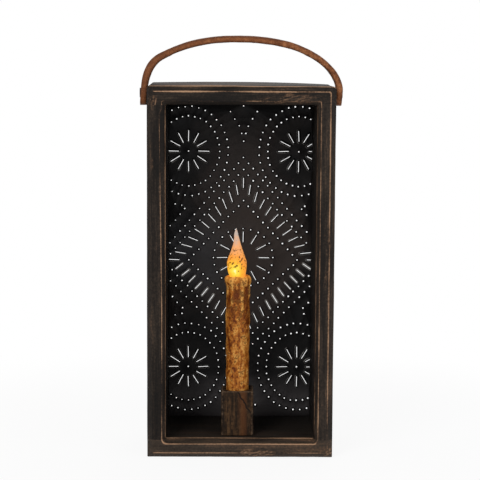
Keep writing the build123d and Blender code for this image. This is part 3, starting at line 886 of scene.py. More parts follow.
@dataclass
class WoodenCase:
    """Four boards, shaped and sanded as one box and then parted at their butt joints."""

    outer_chamfer: float = 4.5 * MM
    base_chamfer: float = 1.2 * MM
    bevel_side: float = 3.1 * MM
    bevel_sill: float = 3.3 * MM
    sill_reach: float = 6.0 * MM
    bevel_depth: float = 3.4 * MM
    hidden_depth: float = 3.0 * MM
    rabbet_width: float = 6.0 * MM
    wear_reach: float = 0.55 * MM
    face_step: float = 6.0 * MM
    side_stray: float = 2.4 * MM
    stray_from: float = 120.0 * MM
    stray_over: float = 180.0 * MM
    top_margin: float = 20.0 * MM
    # Painted light: how far the top face is lightened towards bare wood, for the light from above.
    top_painted_light: float = 0.42
    back_margin: float = 8.0 * MM
    waviness: float = 0.55 * MM
    wave_sizes: Triple = (46 * MM, 12 * MM, 7 * MM)
    wear_patch: float = 21 * MM
    fall_reach: float = 3 * MM
    head_slope: Spot = (0.7 * MM, 1.9 * MM)
    joint_step: float = 0.05 * MM
    corner_steps: int = 6
    across_steps: int = 30
    upright_steps: int = 60
    low: Vector = field(init=False)
    high: Vector = field(init=False)
    board: float = field(init=False)
    tin_y: float = field(init=False)
    stains: dict[str, WornStain] = field(init=False)

    def __post_init__(self) -> None:
        """Takes the case's size from the frame and sets how each board was stained and sanded."""
        foot = Scuff(14 * MM, 4 * MM, 20 * MM, 5 * MM, 24.0, 1.0)
        foot_corner = Scuff(73 * MM, 4 * MM, 6 * MM, 6 * MM, 30.0, 0.9)
        head = Scuff(36 * MM, 296 * MM, 50 * MM, 8 * MM, 17.0, 0.62)
        head_corner = Scuff(-71 * MM, 292 * MM, 5 * MM, 9 * MM, 78.0, 0.9)
        left = Scuff(-69 * MM, 243 * MM, 5 * MM, 24 * MM, 87.0, 0.6)
        right = Scuff(68 * MM, 160 * MM, 9 * MM, 60 * MM, 82.0, 0.5)
        self.stains = {
            "bottom_board": WornStain("foot_stain", Axis.ALONG_X, 0.0, (foot, foot_corner), 1.0),
            "top_board": WornStain("head_stain", Axis.ALONG_X, 20.0, (head, head_corner), 0.10),
            "left_side_board": WornStain("left_stain", Axis.ALONG_Z, 40.0, (left,), 0.0),
            "right_side_board": WornStain("right_stain", Axis.ALONG_Z, 60.0, (right,), 0.35),
        }
        foot_low, foot_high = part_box("bottom_board")
        self.low = foot_low
        self.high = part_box("top_board")[1]
        self.board = foot_high.z - foot_low.z
        self.tin_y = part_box("punched_tin_panel")[0].y

    def edges(self) -> list[Edge]:
        """Corners of the cross-section, each with its wear.

        Returns:
            The corners, from the back round the outside to the front and in.
        """
        front, back = self.low.y, self.high.y
        chamfer, base = self.outer_chamfer, self.base_chamfer
        bevel = self.board - self.bevel_side
        sill = self.board - self.bevel_sill
        floor = self.board - self.rabbet_width
        deep = front + self.bevel_depth
        sill_deep = deep + self.sill_reach
        hidden, sill_hidden = deep + self.hidden_depth, sill_deep + self.hidden_depth
        tight, back_base = 0.9 * MM, back - base
        wall, tin = self.board, self.tin_y
        rabbet_wear = (0.2, 0.2, 0.2, 0.2)
        rear_wear, rear_rim_wear = (0.3, 0.3, 0.45, 0.3), (0.4, 0.4, 0.7, 0.4)
        rim_wear, chamfer_wear = (0.4, 0.45, 0.9, 0.35), (0.85, 0.82, 0.85, 0.15)
        bevel_wear, opening_wear = (1.00, 0.92, 0.66, 0.80), (0.90, 0.85, 0.35, 0.95)
        return [
            Edge(floor, floor, back, back, 0.4 * MM, tight, tight, rabbet_wear),
            Edge(chamfer, base, back, back, 0.8 * MM, 2.2 * MM, tight, rear_wear),
            Edge(0.0, 0.0, back - chamfer, back_base, 0.9 * MM, 3.0 * MM, tight, rear_rim_wear),
            Edge(0.0, 0.0, front + chamfer, front + chamfer, 0.9 * MM, 3.0 * MM, tight, rim_wear),
            Edge(chamfer, chamfer, front, front, 0.8 * MM, 1.6 * MM, 1.2 * MM, chamfer_wear),
            Edge(bevel, sill, front, front, 0.6 * MM, 1.2 * MM, 4.2 * MM, bevel_wear, self.side_stray),
            Edge(wall, wall, deep, sill_deep, 0.6 * MM, 0.9 * MM, 1.9 * MM, opening_wear),
            # Inside the case: painted shade, 0.6 just behind the opening and 0.9 deeper in by the tin.
            Edge(wall, wall, hidden, sill_hidden, 0.3 * MM, tight, tight, sanded=0.0, shade=0.6),
            Edge(wall, wall, tin, tin, 0.3 * MM, tight, tight, sanded=0.0, shade=0.9),
            Edge(floor, floor, tin, tin, 0.1 * MM, tight, tight, sanded=0.0, shade=0.9),
        ]

    def section(self) -> list[Edge]:
        """Rounds the edges of the cross-section and divides its long faces.

        Returns:
            The stations, in order round the section.
        """
        corners = self.edges()
        stations: list[Edge] = []
        for i, here in enumerate(corners):
            before, after = corners[i - 1], corners[(i + 1) % len(corners)]
            reach = here.round_off + self.wear_reach
            cut_in, cut_out = (self.share(here, other, here.round_off) for other in (before, after))
            end_in, end_out = (self.share(here, other, reach) for other in (before, after))
            inner = here.toward(before, cut_in * 0.3, 1.0)
            outer = here.toward(after, cut_out * 0.3, 1.0)
            stations += [here.toward(before, end_in, 0.0), here.toward(before, cut_in, 0.6)]
            stations.append(inner.toward(outer, 0.5, 1.0))
            stations += [here.toward(after, cut_out, 0.6), here.toward(after, end_out, 0.0)]
            last = 1 - self.share(after, here, after.round_off + self.wear_reach)
            count = max(1, round(math.hypot(here.inset - after.inset, here.y - after.y) / self.face_step))
            for step in range(1, count):
                if end_out + 0.03 < step / count < last - 0.03:
                    stations.append(here.toward(after, step / count, 0.0))
        return stations

    @staticmethod
    def share(here: Edge, other: Edge, reach: float) -> float:
        """A reach along the face towards another corner, as a share of at most 0.42."""
        return min(0.42, reach / math.hypot(here.inset - other.inset, here.y - other.y))

    def outline(self, at: Edge) -> Iterator[tuple[Vector, float]]:
        """The closed outline of the case through one station.

        Args:
            at: The station.

        Returns:
            Each point with its wear, from the lower left corner.
        """
        left, right = self.low.x + at.inset, self.high.x - at.inset
        foot, head = self.low.z + at.foot_inset, self.high.z - at.inset
        lower, upper = at.foot_radius, at.head_radius
        corners = [
            arc((left + lower, foot + lower), lower, 180, 270, self.corner_steps),
            arc((right - lower, foot + lower), lower, 270, 360, self.corner_steps),
            arc((right - upper, head - upper), upper, 0, 90, self.corner_steps),
            arc((left + upper, head - upper), upper, 90, 180, self.corner_steps),
        ]
        for number, corner in enumerate(corners):
            following = corners[(number + 1) % 4][0]
            steps = self.upright_steps if number % 2 else self.across_steps
            run = [self.along(corner[-1], following, i / steps) for i in range(1, steps)]
            turns = [i / self.corner_steps for i in range(self.corner_steps + 1)] + [1.0] * len(run)
            for (x, z), turn in zip(corner + run, turns):
                wear = at.wear[number - 1] * (1 - turn) + at.wear[number] * turn
                foot_share = {0: turn, 1: 1 - turn}.get(number, 0.0)
                y = at.y * (1 - foot_share) + at.foot_y * foot_share
                if x < 0 and z < self.high.z - self.top_margin:
                    x -= at.drift * max(0.0, (z - self.stray_from) / self.stray_over)
                yield Vector((x, y, z)), wear

    @staticmethod
    def along(start: Spot, end: Spot, share: float) -> Spot:
        """A point on the straight between two others."""
        return start[0] + (end[0] - start[0]) * share, start[1] + (end[1] - start[1]) * share

    def sanded_off(self, at: Edge, place: Vector, wear: float) -> float:
        """How much stain is gone at a point, unevenly along the edges; over the top face it also paints the
        bare tan as painted light from above.
        """
        uneven = min(1.0, wear * (0.60 + 0.85 * ripple(place, self.wear_patch, 3.0)))
        on_top = at.inset < 0.01 * MM and place.z > self.high.z - 0.1 * MM
        # Painted light over the top face, short of the back.
        return max(uneven, self.top_painted_light) if on_top and at.y < self.high.y - self.back_margin else uneven

    def box_mesh(self) -> bpy.types.Mesh:
        """Makes the whole box, a little wavy where it was sanded by hand.

        Returns:
            One closed mesh.
        """
        draft = Draft()
        rings = []
        for at in self.section():
            points, wear = zip(*self.outline(at))
            worn = [self.sanded_off(at, place, share) for place, share in zip(points, wear)]
            rings.append(draft.ring(points, edge=worn, open=at.sanded, shade=at.shade))
        for i, ring in enumerate(rings):
            draft.skin(ring, rings[(i + 1) % len(rings)])
        mesh = draft.mesh("whole_box")
        normals = [v.normal.copy() for v in mesh.vertices]
        edge = mesh.attributes["edge"].data
        broad, close, fine = self.wave_sizes
        for vertex, normal in zip(mesh.vertices, normals):
            place = vertex.co.copy()
            sunk = self.waviness * (0.5 * ripple(place, broad, 1.0) + 0.2 * ripple(place, close, 2.0))
            sunk += edge[vertex.index].value * self.waviness * 0.7 * ripple(place, fine, 5.0)
            vertex.co = place - normal * sunk
            if place.z > self.high.z - self.fall_reach:
                vertex.co.z -= self.fall(place)
        return mesh

    def fall(self, place: Vector) -> float:
        """How far the top falls away towards its ends at a place."""
        slope = self.head_slope[0 if place.x < 0 else 1]
        back = (place.y - self.low.y) / (self.high.y - self.low.y)
        return slope * (place.x / self.high.x) ** 2 * min(1.0, back * 1.5)

    def parted(self, whole: bpy.types.Mesh, node: str) -> bpy.types.Mesh:
        """Cuts one board out of the whole box.

        Args:
            whole: The whole box.
            node: CAD node of the board.

        Returns:
            The board's mesh, closed at its joints.
        """
        work = bmesh.new()
        work.from_mesh(whole)
        low_cut = self.low.z + self.board + self.joint_step
        high_cut = self.high.z - self.board - self.joint_step
        flat = {"bottom_board": [(low_cut, 1)], "top_board": [(high_cut, -1)]}
        for height, way in flat.get(node, [(low_cut, -1), (high_cut, 1)]):
            everything = work.verts[:] + work.edges[:] + work.faces[:]
            bmesh.ops.bisect_plane(
                work, geom=everything, plane_co=(0, 0, height), plane_no=(0, 0, way), clear_outer=True
            )
        side = {"left_side_board": 1, "right_side_board": -1}.get(node, 0)
        if side:
            away = [v for v in work.verts if v.co.x * side > 0]
            bmesh.ops.delete(work, geom=away, context="VERTS")
        rims = [e for e in work.edges if e.is_boundary]
        bmesh.ops.holes_fill(work, edges=rims, sides=0)
        mesh = bpy.data.meshes.new(node + "_worn")
        work.to_mesh(mesh)
        work.free()
        return settle(mesh, 40.0)

    def build(self) -> None:
        """Makes the four boards."""
        whole = self.box_mesh()
        for node, stain in self.stains.items():
            present(self.parted(whole, node), stain.make(), "case", [node])
        bpy.data.meshes.remove(whole)


@dataclass
class Mark:
    """A punch or chisel mark: its outline, its place and how far its lip reaches."""

    x: float
    z: float
    angle: float
    length: float
    reach: float


@dataclass(frozen=True)
class DottedRow:
    """One row of marks round the diamond.

    Attributes:
        upper: Half width and height of the row's upper half.
        lower: Half width and height of its lower half, which the hand made flatter.
        steps: Spaces along each quarter.
        start: How far from the middle the row begins.
    """

    upper: Spot
    lower: Spot
    steps: int
    start: float = 0.0


@dataclass
class PunchedTin:
    """The punched sheet: rosettes in rings of dots, a diamond of dots and chisel marks, and a star."""

    offset_x: float = 2.7 * MM
    rosette: Spot = (46.8 * MM, 93.2 * MM)
    inner_ring: Spot = (26.4 * MM, 29.8 * MM)
    outer_ring: Spot = (33.8 * MM, 38.0 * MM)
    far_ring: Spot = (41.5 * MM, 47.0 * MM)
    rosette_ray: Spot = (8.3 * MM, 17.6 * MM)
    star: Spot = (0.0, 1.9 * MM)
    star_ring: Spot = (25.5 * MM, 25.1 * MM)
    star_ray: Spot = (13.4 * MM, 22.4 * MM)
    ray_count: int = 12
    fork_foot: float = 101.9 * MM
    fork_head: float = 131.6 * MM
    fork_start: float = 108.6 * MM
    fork_step: Spot = (3.75 * MM, 6.1 * MM)
    fork_half_gap: float = 1.75 * MM
    diamond_rows: tuple[DottedRow, ...] = (
        DottedRow((46.5 * MM, 51.0 * MM), (47.2 * MM, 45.5 * MM), 11),
        DottedRow((66.3 * MM, 77.5 * MM), (69.5 * MM, 72.5 * MM), 16),
        DottedRow((75.0 * MM, 88.0 * MM), (79.5 * MM, 82.5 * MM), 18),
        DottedRow((87.0 * MM, 102.7 * MM), (91.0 * MM, 97.0 * MM), 21, 48.5 * MM),
    )
    bar_row: DottedRow = DottedRow((59.0 * MM, 66.2 * MM), (60.2 * MM, 61.5 * MM), 11)
    dot_radius: float = 0.61 * MM
    bar_half_width: float = 0.24 * MM
    bar_length: float = 9.0 * MM
    low_bar_length: float = 8.2 * MM
    shortest_bar: float = 3.0 * MM
    rim: float = 1.0 * MM
    lip_height: float = 0.60 * MM
    louvre_reach: float = 1.65 * MM
    louvre_from: float = 0.85
    louvre_band: Spot = (-66 * MM, -2 * MM)
    louvre_side: float = 22 * MM
    shine_fade: Spot = (40 * MM, 110 * MM)
    side_gap: float = 0.3 * MM
    cell: float = 6 * MM
    # The third number of each ring is painted light on the tin: above 0 a painted highlight, below 0 painted
    # shade.
    dot_rings: Rings = ((1.0, 0.0, 0.0), (0.7, 0.35, -1.0), (0.0, 1.0, -0.7))
    bar_rings: Rings = (
        (1.0, 0.0, 0.0),
        (0.90, 0.35, 1.0),
        (0.62, 0.55, 1.0),
        (0.40, 0.8, -0.8),
        (0.0, 1.0, -0.2),
    )
    louvre_rings: Rings = (
        (1.0, 0.0, 0.0),
        (0.80, 0.35, 0.1),
        (0.60, 0.60, 1.0),
        (0.35, 0.85, 0.55),
        (0.0, 1.0, 0.9),
    )
    dimple: float = 1.35 * MM
    web: float = 0.12 * MM
    sheet_thickness: float = 0.3 * MM
    jitter: float = 0.28 * MM
    dot_sides: int = 10
    low: Vector = field(init=False)
    high: Vector = field(init=False)
    seen_half_width: float = field(init=False)
    seen_half_height: float = field(init=False)

    def __post_init__(self) -> None:
        """Takes the sheet's size from the frame."""
        self.low, self.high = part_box("punched_tin_panel")
        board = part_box("bottom_board")[1].z
        self.seen_half_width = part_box("bottom_board")[1].x - board
        self.seen_half_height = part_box("top_board")[1].z / 2 - board

    @staticmethod
    def ellipse(middle: Spot, radii: Spot, count: int, phase: float = 0.0) -> list[Spot]:
        """Evenly spread points of an ellipse, turned by a share of their spacing."""
        turns = [2 * math.pi * (i + phase) / count for i in range(count)]
        return [(middle[0] + radii[0] * math.cos(t), middle[1] + radii[1] * math.sin(t)) for t in turns]

    @staticmethod
    def row(width: float, height: float, steps: int) -> list[Spot]:
        """Points from the upper corner of a diamond down its edge to the side corner."""
        return [(width * i / steps, height * (1 - i / steps)) for i in range(steps + 1)]

    @staticmethod
    def mirrored(points: Iterable[Spot]) -> list[Spot]:
        """Copies points into the four quarters.

        Args:
            points: Points of one quarter.

        Returns:
            Each point once.
        """
        spots = {}
        for (x, z), side, way in itertools.product(points, (-1, 1), (-1, 1)):
            spots[(round(side * x, 7), round(way * z, 7))] = None
        return list(spots)

    def dots(self) -> list[Spot]:
        """Every round punch mark.

        Returns:
            Their places, about the middle of the pattern.
        """
        middle = self.rosette
        quarter = [middle]
        quarter += self.ellipse(middle, self.inner_ring, 32)
        quarter += self.ellipse(middle, self.outer_ring, 36, 0.5)
        outward = [p for p in self.ellipse(middle, self.far_ring, 46, 0.5) if p[0] > middle[0]]
        quarter += sorted(outward, key=lambda p: p[1])[:3]
        quarter += [(0.0, self.fork_foot), (0.0, self.fork_head)]
        across, up = self.fork_step
        quarter += [(across * i, self.fork_start + up * i) for i in range(1, 4)]
        quarter += [(self.fork_half_gap, self.fork_start)]
        return self.mirrored(quarter) + self.diamond_dots() + self.ellipse(self.star, self.star_ring, 24)

    def diamond_dots(self) -> list[Spot]:
        """The dotted rows of the diamond, flatter below than above, as the photo shows them.

        Returns:
            Their places, about the middle of the pattern.
        """
        spots = {}
        for row in self.diamond_rows:
            for size, way in ((row.upper, 1), (row.lower, -1)):
                for x, z in self.row(*size, row.steps):
                    if x >= row.start and (z > 0 or way > 0):
                        spots[(round(x, 7), round(way * z, 7))] = None
                        spots[(round(-x, 7), round(way * z, 7))] = None
        return list(spots)

    def bars(self) -> Iterator[Mark]:
        """Every chisel mark.

        Returns:
            The marks, about the middle of the pattern.
        """
        middles = [(s * self.rosette[0], w * self.rosette[1]) for s in (-1, 1) for w in (-1, 1)]
        rays = [(m, *self.rosette_ray) for m in middles] + [(self.star, *self.star_ray)]
        for middle, inner, outer in rays:
            reach = (inner + outer) / 2
            for place, i in zip(self.ellipse(middle, (reach, reach), self.ray_count), range(self.ray_count)):
                yield Mark(*place, 2 * math.pi * i / self.ray_count, outer - inner, self.bar_half_width)
        for size, way, length in (
            (self.bar_row.upper, 1, self.bar_length),
            (self.bar_row.lower, -1, self.low_bar_length),
        ):
            last = self.bar_row.steps
            for i, (x, z) in enumerate(self.row(*size, last)):
                down = 1 - i / last
                steep = self.low_slope(down) if way < 0 and 0 < i < last else math.pi / 2 * down
                for side in (-1, 1):
                    if (x > 0 or side > 0) and (i < last or way > 0):
                        angle = math.atan2(way * math.sin(steep), side * math.cos(steep))
                        yield Mark(side * x, way * z, angle, length, self.bar_half_width)

    @staticmethod
    def low_slope(down: float) -> float:
        """Slope of a bar in the diamond's lower half, by its share of the way down."""
        return math.radians(33 + 41 * down)

    def marks(self) -> list[Mark]:
        """Sets each mark a little off its line, as a hand does, and keeps it inside the sheet's rim.

        Returns:
            The marks that fit on the sheet.
        """
        chance = random.Random(11)
        found = []
        for x, z in self.dots():
            x += self.offset_x + chance.uniform(-1, 1) * self.jitter
            z += chance.uniform(-1, 1) * self.jitter
            radius = self.dot_radius * (1 + 0.14 * x / self.seen_half_width + chance.uniform(-0.20, 0.16))
            if abs(x) < self.seen_half_width - self.side_gap and abs(z) < self.seen_half_height:
                found.append(Mark(x, z, 0.0, 0.0, radius))
        limit = self.high.x - self.rim
        for bar in self.bars():
            bar.x += self.offset_x
            bar.angle += chance.uniform(-1, 1) * 0.05
            bar.length *= chance.uniform(0.93, 1.04)
            past = abs(bar.x) + abs(math.cos(bar.angle)) * bar.length / 2 - limit
            if past > 0:
                lost = past / max(0.2, abs(math.cos(bar.angle)))
                back = math.copysign(lost / 2, bar.x * math.cos(bar.angle))
                bar.x -= back * math.cos(bar.angle)
                bar.z -= back * math.sin(bar.angle)
                bar.length -= lost
            if bar.length > self.shortest_bar:
                found.append(bar)
        return found

    def ring_of(self, mark: Mark, grow: float) -> list[Spot]:
        """Outline round a mark: a circle for a dot, a slot with round ends for a bar.

        Args:
            mark: The mark.
            grow: How far outside the mark it runs.

        Returns:
            Points of the outline.
        """
        radius = mark.reach + grow
        if mark.length == 0:
            return self.ellipse((mark.x, mark.z), (radius, radius), self.dot_sides)
        half = mark.length / 2 - mark.reach
        local = []
        for side, start in ((1, -90), (-1, 90)):
            local += arc((side * half, 0.0), radius, start, start + 180, 4)
            local += [(side * half * k, side * radius) for k in (0.5, 0.0, -0.5)]
        turn = Matrix.Rotation(mark.angle, 2)
        return [tuple(turn @ Vector(p) + Vector((mark.x, mark.z))) for p in local]

    def raised(self, mark: Mark) -> float:
        """How strong the painted highlight on a bar's rim is, most of all at the lower left.

        Args:
            mark: The bar.

        Returns:
            The brightness. Over louvre_from the bar is a louvre.
        """
        fade_x, fade_z = self.shine_fade
        low = min(1.0, max(0.0, 0.45 - mark.z / fade_z))
        out = min(1.0, abs(mark.x) / fade_x) * (1.0 if mark.x < 0 else 0.75)
        if self.louvre_band[0] < mark.z < self.louvre_band[1] and abs(mark.x) > self.louvre_side:
            return 0.95 + 0.55 * out
        return 0.55 + 0.20 * low * out

    def shine_at(self, mark: Mark, spot: Spot, shine: float, raised: float) -> float:
        """How much painted highlight a point round a mark gets: more below a bar than above it, unless it is
        a louvre.

        Args:
            mark: The mark.
            spot: The point.
            shine: Brightness of its ring.
            raised: How brightly the mark's rim shines.

        Returns:
            The painted highlight, below 0 for painted shade.
        """
        if mark.length == 0 or shine < 0:
            return shine
        up = (spot[1] - mark.z) * abs(math.cos(mark.angle)) + (spot[0] - mark.x) * abs(math.sin(mark.angle))
        return shine * raised * (1.0 if up < 0 or raised > self.louvre_from else 0.45)

    def room(self, marks: Sequence[Mark]) -> list[float]:
        """Finds how far the dimple round each mark may reach before it meets another's.

        Args:
            marks: The marks.

        Returns:
            A distance for each mark.
        """
        stations: list[tuple[float, float, int]] = []
        for number, mark in enumerate(marks):
            steps = 8 if mark.length else 0
            for i in range(steps + 1):
                along = mark.length * (i / steps - 0.5) * 0.9 if steps else 0.0
                x = mark.x + along * math.cos(mark.angle)
                z = mark.z + along * math.sin(mark.angle)
                stations.append((x, z, number))
        cell = self.cell
        grid: dict[tuple[int, int], list[tuple[float, float, int]]] = {}
        for x, z, number in stations:
            grid.setdefault((math.floor(x / cell), math.floor(z / cell)), []).append((x, z, number))
        free = [self.louvre_reach if mark.length else self.dimple for mark in marks]
        for x, z, number in stations:
            column, line = math.floor(x / cell), math.floor(z / cell)
            for a, b in itertools.product((-1, 0, 1), repeat=2):
                for u, w, other in grid.get((column + a, line + b), []):
                    if other != number:
                        gap = math.hypot(x - u, z - w) - marks[number].reach - marks[other].reach
                        free[number] = min(free[number], gap / 2 - self.web / 2)
        return free

    def sheet(self) -> bpy.types.Mesh:
        """Makes the sheet with a raised lip round every hole.

        Returns:
            Its front face.
        """
        marks = self.marks()
        free = self.room(marks)
        kept = [(m, f) for m, f in zip(marks, free) if f > self.web]
        middle_z = (self.low.z + self.high.z) / 2
        half_w, half_h = (self.high.x - self.low.x) / 2, (self.high.z - self.low.z) / 2
        flat: list[Spot] = [(-half_w, -half_h), (half_w, -half_h), (half_w, half_h), (-half_w, half_h)]
        rise: list[float] = [0.0] * 4
        lip: list[float] = [0.0] * 4
        loops: list[list[int]] = [[0, 1, 2, 3]]
        holes: list[list[int]] = []
        chance = random.Random(5)
        for mark, reach in kept:
            tall = self.lip_height * min(1.0, reach / self.dimple + 0.25)
            raised = self.raised(mark) if mark.length else 1.0
            rings = self.louvre_rings if raised > self.louvre_from else self.bar_rings
            for share, height, shine in rings if mark.length else self.dot_rings:
                first = len(flat)
                outline = self.ring_of(mark, reach * share)
                flat += outline
                rough = 0.0 if share else 0.35
                rise += [height * tall * (1 - rough * chance.random()) for _ in outline]
                # Painted highlight and painted shade at each point round the mark.
                lip += [self.shine_at(mark, spot, shine, raised) for spot in outline]
                loops.append(list(range(first, len(flat))))
            holes.append(loops[-1])
        edges = [(loop[i - 1], loop[i]) for loop in loops for i in range(len(loop))]
        found = delaunay_2d_cdt([Vector(p) for p in flat], edges, holes, 1, 1e-7, True)
        points, _, faces, origins, _, face_origins = found
        draft = Draft()
        height_of = [max([rise[o] for o in group], default=0.0) for group in origins]
        lip_of = [sum(lip[o] for o in group) / max(1, len(group)) for group in origins]
        places = [Vector((p.x, self.low.y - h, p.y + middle_z)) for p, h in zip(points, height_of)]
        draft.ring(places, lip=lip_of)
        draft.faces = [tuple(f) for f, origin in zip(faces, face_origins) if not origin]
        return draft.mesh("punched_tin_sheet", 50.0)

    def build(self) -> None:
        """Makes the sheet."""
        piece = present(self.sheet(), BlackenedTin().make(), "case", ["punched_tin_panel"])
        solid = piece.modifiers.new("gauge", "SOLIDIFY")
        solid.thickness = self.sheet_thickness
        solid.offset = -1.0 if piece.data.polygons[0].normal.y < 0 else 1.0


@dataclass
class StrapHandle:
    """One thick leather strap, bent over the top and screwed to the ends of the top board.

    Attributes:
        grain: Height and size of the bumps on its faces.
        side_grain: The same on its sides.
        free: How free it is of the board, by height in millimetres.
        painted_side_shade: How much painted shade darkens it, by place across in millimetres.
        painted_side_light: How much painted light pales it, by the same.
        bulge: How far its crown bulges, by the same.
        lean: How far it leans to the left, by height in millimetres.
    """

    side_gap: float = 1.2 * MM
    spring: float = 0.009
    foot_thinning: float = 0.10
    shoulder_radius: float = 31.0 * MM
    crown_rise: float = 11.0 * MM
    bend_lift: float = 2.0 * MM
    edge_round: float = 1.1 * MM
    step: float = 1.6 * MM
    raggedness: float = 1.3 * MM
    tail: float = 6.0 * MM
    foot_x: float = 70.0 * MM
    crown_from: float = 330.0 * MM
    crown_thinning: float = 0.06
    narrowest: float = 0.5 * MM
    burr_size: float = 2.2 * MM
    grain: Spot = (0.30 * MM, 9 * MM)
    side_grain: Spot = (0.35 * MM, 3.5 * MM)
    side_from: float = 8 * MM
    # Span across of the painted highlight on the outer face of the left shoulder.
    shoulder_highlight: Spot = (-78.0 * MM, -52.0 * MM)
    free: Stops = ((301.0, 0.0), (314.0, 1.0))
    # Painted shade to the left and painted light to the right, by place across in millimetres.
    painted_side_shade: Stops = ((-70.0, 0.34), (-30.0, 0.0))
    painted_side_light: Stops = ((0.0, 0.0), (45.0, 0.62))
    bulge: Stops = (
        (-76.0, 0.0), (-60.0, 0.2), (-45.0, 0.7), (-25.0, 0.6), (0.0, 0.15), (20.0, 0.6),
        (35.0, 1.2), (48.0, 1.7), (58.0, 1.1), (68.0, 0.2), (76.0, 0.0),
    )
    lean: Stops = (
        (285.0, 0.4), (293.5, 0.0), (301.0, -0.5), (308.5, 0.0),
        (315.5, 0.9), (323.5, 2.4), (330.0, 3.0), (360.0, 3.0),
    )
    low: Vector = field(init=False)
    high: Vector = field(init=False)
    screw_z: float = field(init=False)
    thickness: float = field(init=False)

    def __post_init__(self) -> None:
        """Takes the strap's size from the frame."""
        self.low, self.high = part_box("leather_strap")
        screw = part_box("right_strap_screw")
        self.screw_z = (screw[0].z + screw[1].z) / 2
        self.thickness = self.high.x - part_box("top_board")[1].x - self.side_gap

    def centre_line(self) -> list[tuple[Vector, Vector]]:
        """The strap's middle line, from the right foot over.

        Returns:
            Its points with their outward directions.
        """
        x = self.high.x - self.thickness / 2
        bend_z = self.screw_z + self.bend_lift
        shoulder_x = x - self.shoulder_radius
        turn = math.pi / 2 - 2 * math.atan2(self.crown_rise, shoulder_x)
        crown_radius = shoulder_x / math.cos(turn) + self.shoulder_radius
        crown_z = bend_z + self.shoulder_radius + self.crown_rise - crown_radius
        count = max(2, round((bend_z - self.low.z) / self.step))
        rise = [self.low.z + (bend_z - self.low.z) * i / count for i in range(count)]
        half = [(Vector((x, 0, z)), Vector((1, 0, 0))) for z in rise]
        half += self.bend(Vector((shoulder_x, 0, bend_z)), self.shoulder_radius, 0.0, turn)
        half += self.bend(Vector((0, 0, crown_z)), crown_radius, turn, math.pi / 2)
        top = Vector((0, 0, crown_z + crown_radius))
        mirrored = [(Vector((-p.x, 0, p.z)), Vector((-o.x, 0, o.z))) for p, o in reversed(half)]
        return half + [(top, Vector((0, 0, 1)))] + mirrored

    def bend(self, middle: Vector, radius: float, start: float, end: float) -> list[tuple[Vector, Vector]]:
        """The stretch of the middle line on an arc, without its end.

        Args:
            middle: Middle of the arc.
            radius: Its radius.
            start: Its first angle, in radians.
            end: Its last angle.

        Returns:
            Its points with their outward directions.
        """
        count = max(4, round(abs(end - start) * radius / self.step))
        turns = [start + (end - start) * i / count for i in range(count)]
        outs = [Vector((math.cos(t), 0, math.sin(t))) for t in turns]
        return [(middle + out * radius, out) for out in outs]

    def cross_section(self) -> list[tuple[float, float, bool]]:
        """Across, outward and whether it is on the rim, of the strap's rounded section."""
        across, out = (self.high.y - self.low.y) / 2 - self.edge_round, self.thickness / 2 - self.edge_round
        corners = [(across, -out, 270), (across, out, 0), (-across, out, 90), (-across, -out, 180)]
        return rounded(corners, self.edge_round, 3, (3, 7))

    def station(self, draft: Draft, middle: Vector, out: Vector) -> list[int]:
        """Adds the ring of points round one place of the middle line, frayed, with its painted light and
        shade.

        Args:
            draft: The strap so far.
            middle: The place.
            out: Outward direction there.

        Returns:
            The numbers of the new points.
        """
        from_end = min(middle.z - self.low.z, self.tail) if abs(middle.x) > self.foot_x else self.tail
        narrow = self.tail - math.sqrt(max(0.0, self.tail**2 - (self.tail - from_end) ** 2))
        free = smooth_curve(self.free, middle.z / MM)
        thinner = 1 - self.crown_thinning if middle.z > self.crown_from else 1.0
        # Painted shade on the left and painted light on the right.
        dark = smooth_curve(self.painted_side_shade, middle.x / MM)
        pale = smooth_curve(self.painted_side_light, middle.x / MM)
        on_shoulder_highlight = self.shoulder_highlight[0] < middle.x < self.shoulder_highlight[1]
        points, rims, worn = [], [], []
        for u, v, on_rim in self.cross_section():
            v -= max(0.0, v) * self.foot_thinning * 2 * (1 - free)
            across = math.copysign(max(self.narrowest, abs(u) - narrow), u)
            place = middle + Vector((0, across, 0)) + out * v * thinner
            burr = max(0.0, ripple(place, self.burr_size, 4.0) - 0.62) * 2.0 if v < 0 else 0.0
            bump = self.grain[0] * ripple(place, self.grain[1], 6.0)
            bump -= self.raggedness * burr * (0.2 + 0.8 * free)
            drawn = place.x * (1 - self.spring * free) - smooth_curve(self.lean, place.z / MM) * MM
            place = Vector((drawn, place.y, place.z + smooth_curve(self.bulge, place.x / MM) * MM))
            on_face = abs(v) > self.thickness * 0.3
            push = -out * math.copysign(bump, v) if on_face else Vector((0, 0, 0))
            if abs(u) > self.side_from:
                dent = self.side_grain[0] * ripple(place, self.side_grain[1], 8.0)
                push += Vector((0, -math.copysign(dent, u), 0))
            points.append(place + push)
            # Rims with painted shade, and painted light with a painted highlight on the outer left shoulder.
            rims.append(max(float(on_rim), dark))
            worn.append(max(0.5 if on_shoulder_highlight and v > self.thickness * 0.4 else 0.0, pale))
        return draft.ring(points, edge=rims, worn=worn)

    def build(self) -> None:
        """Makes the strap."""
        draft = Draft()
        line = self.centre_line()
        rings = [self.station(draft, middle, out) for middle, out in line]
        draft.stack(rings)
        for ring, (middle, _) in ((rings[0], line[0]), (rings[-1], line[-1])):
            draft.fan(ring, middle, edge=0.4, worn=0.0)
        mesh = draft.mesh("leather_strap_worn", 60.0)
        present(mesh, StrapLeather().make(), "handle", ["leather_strap"])


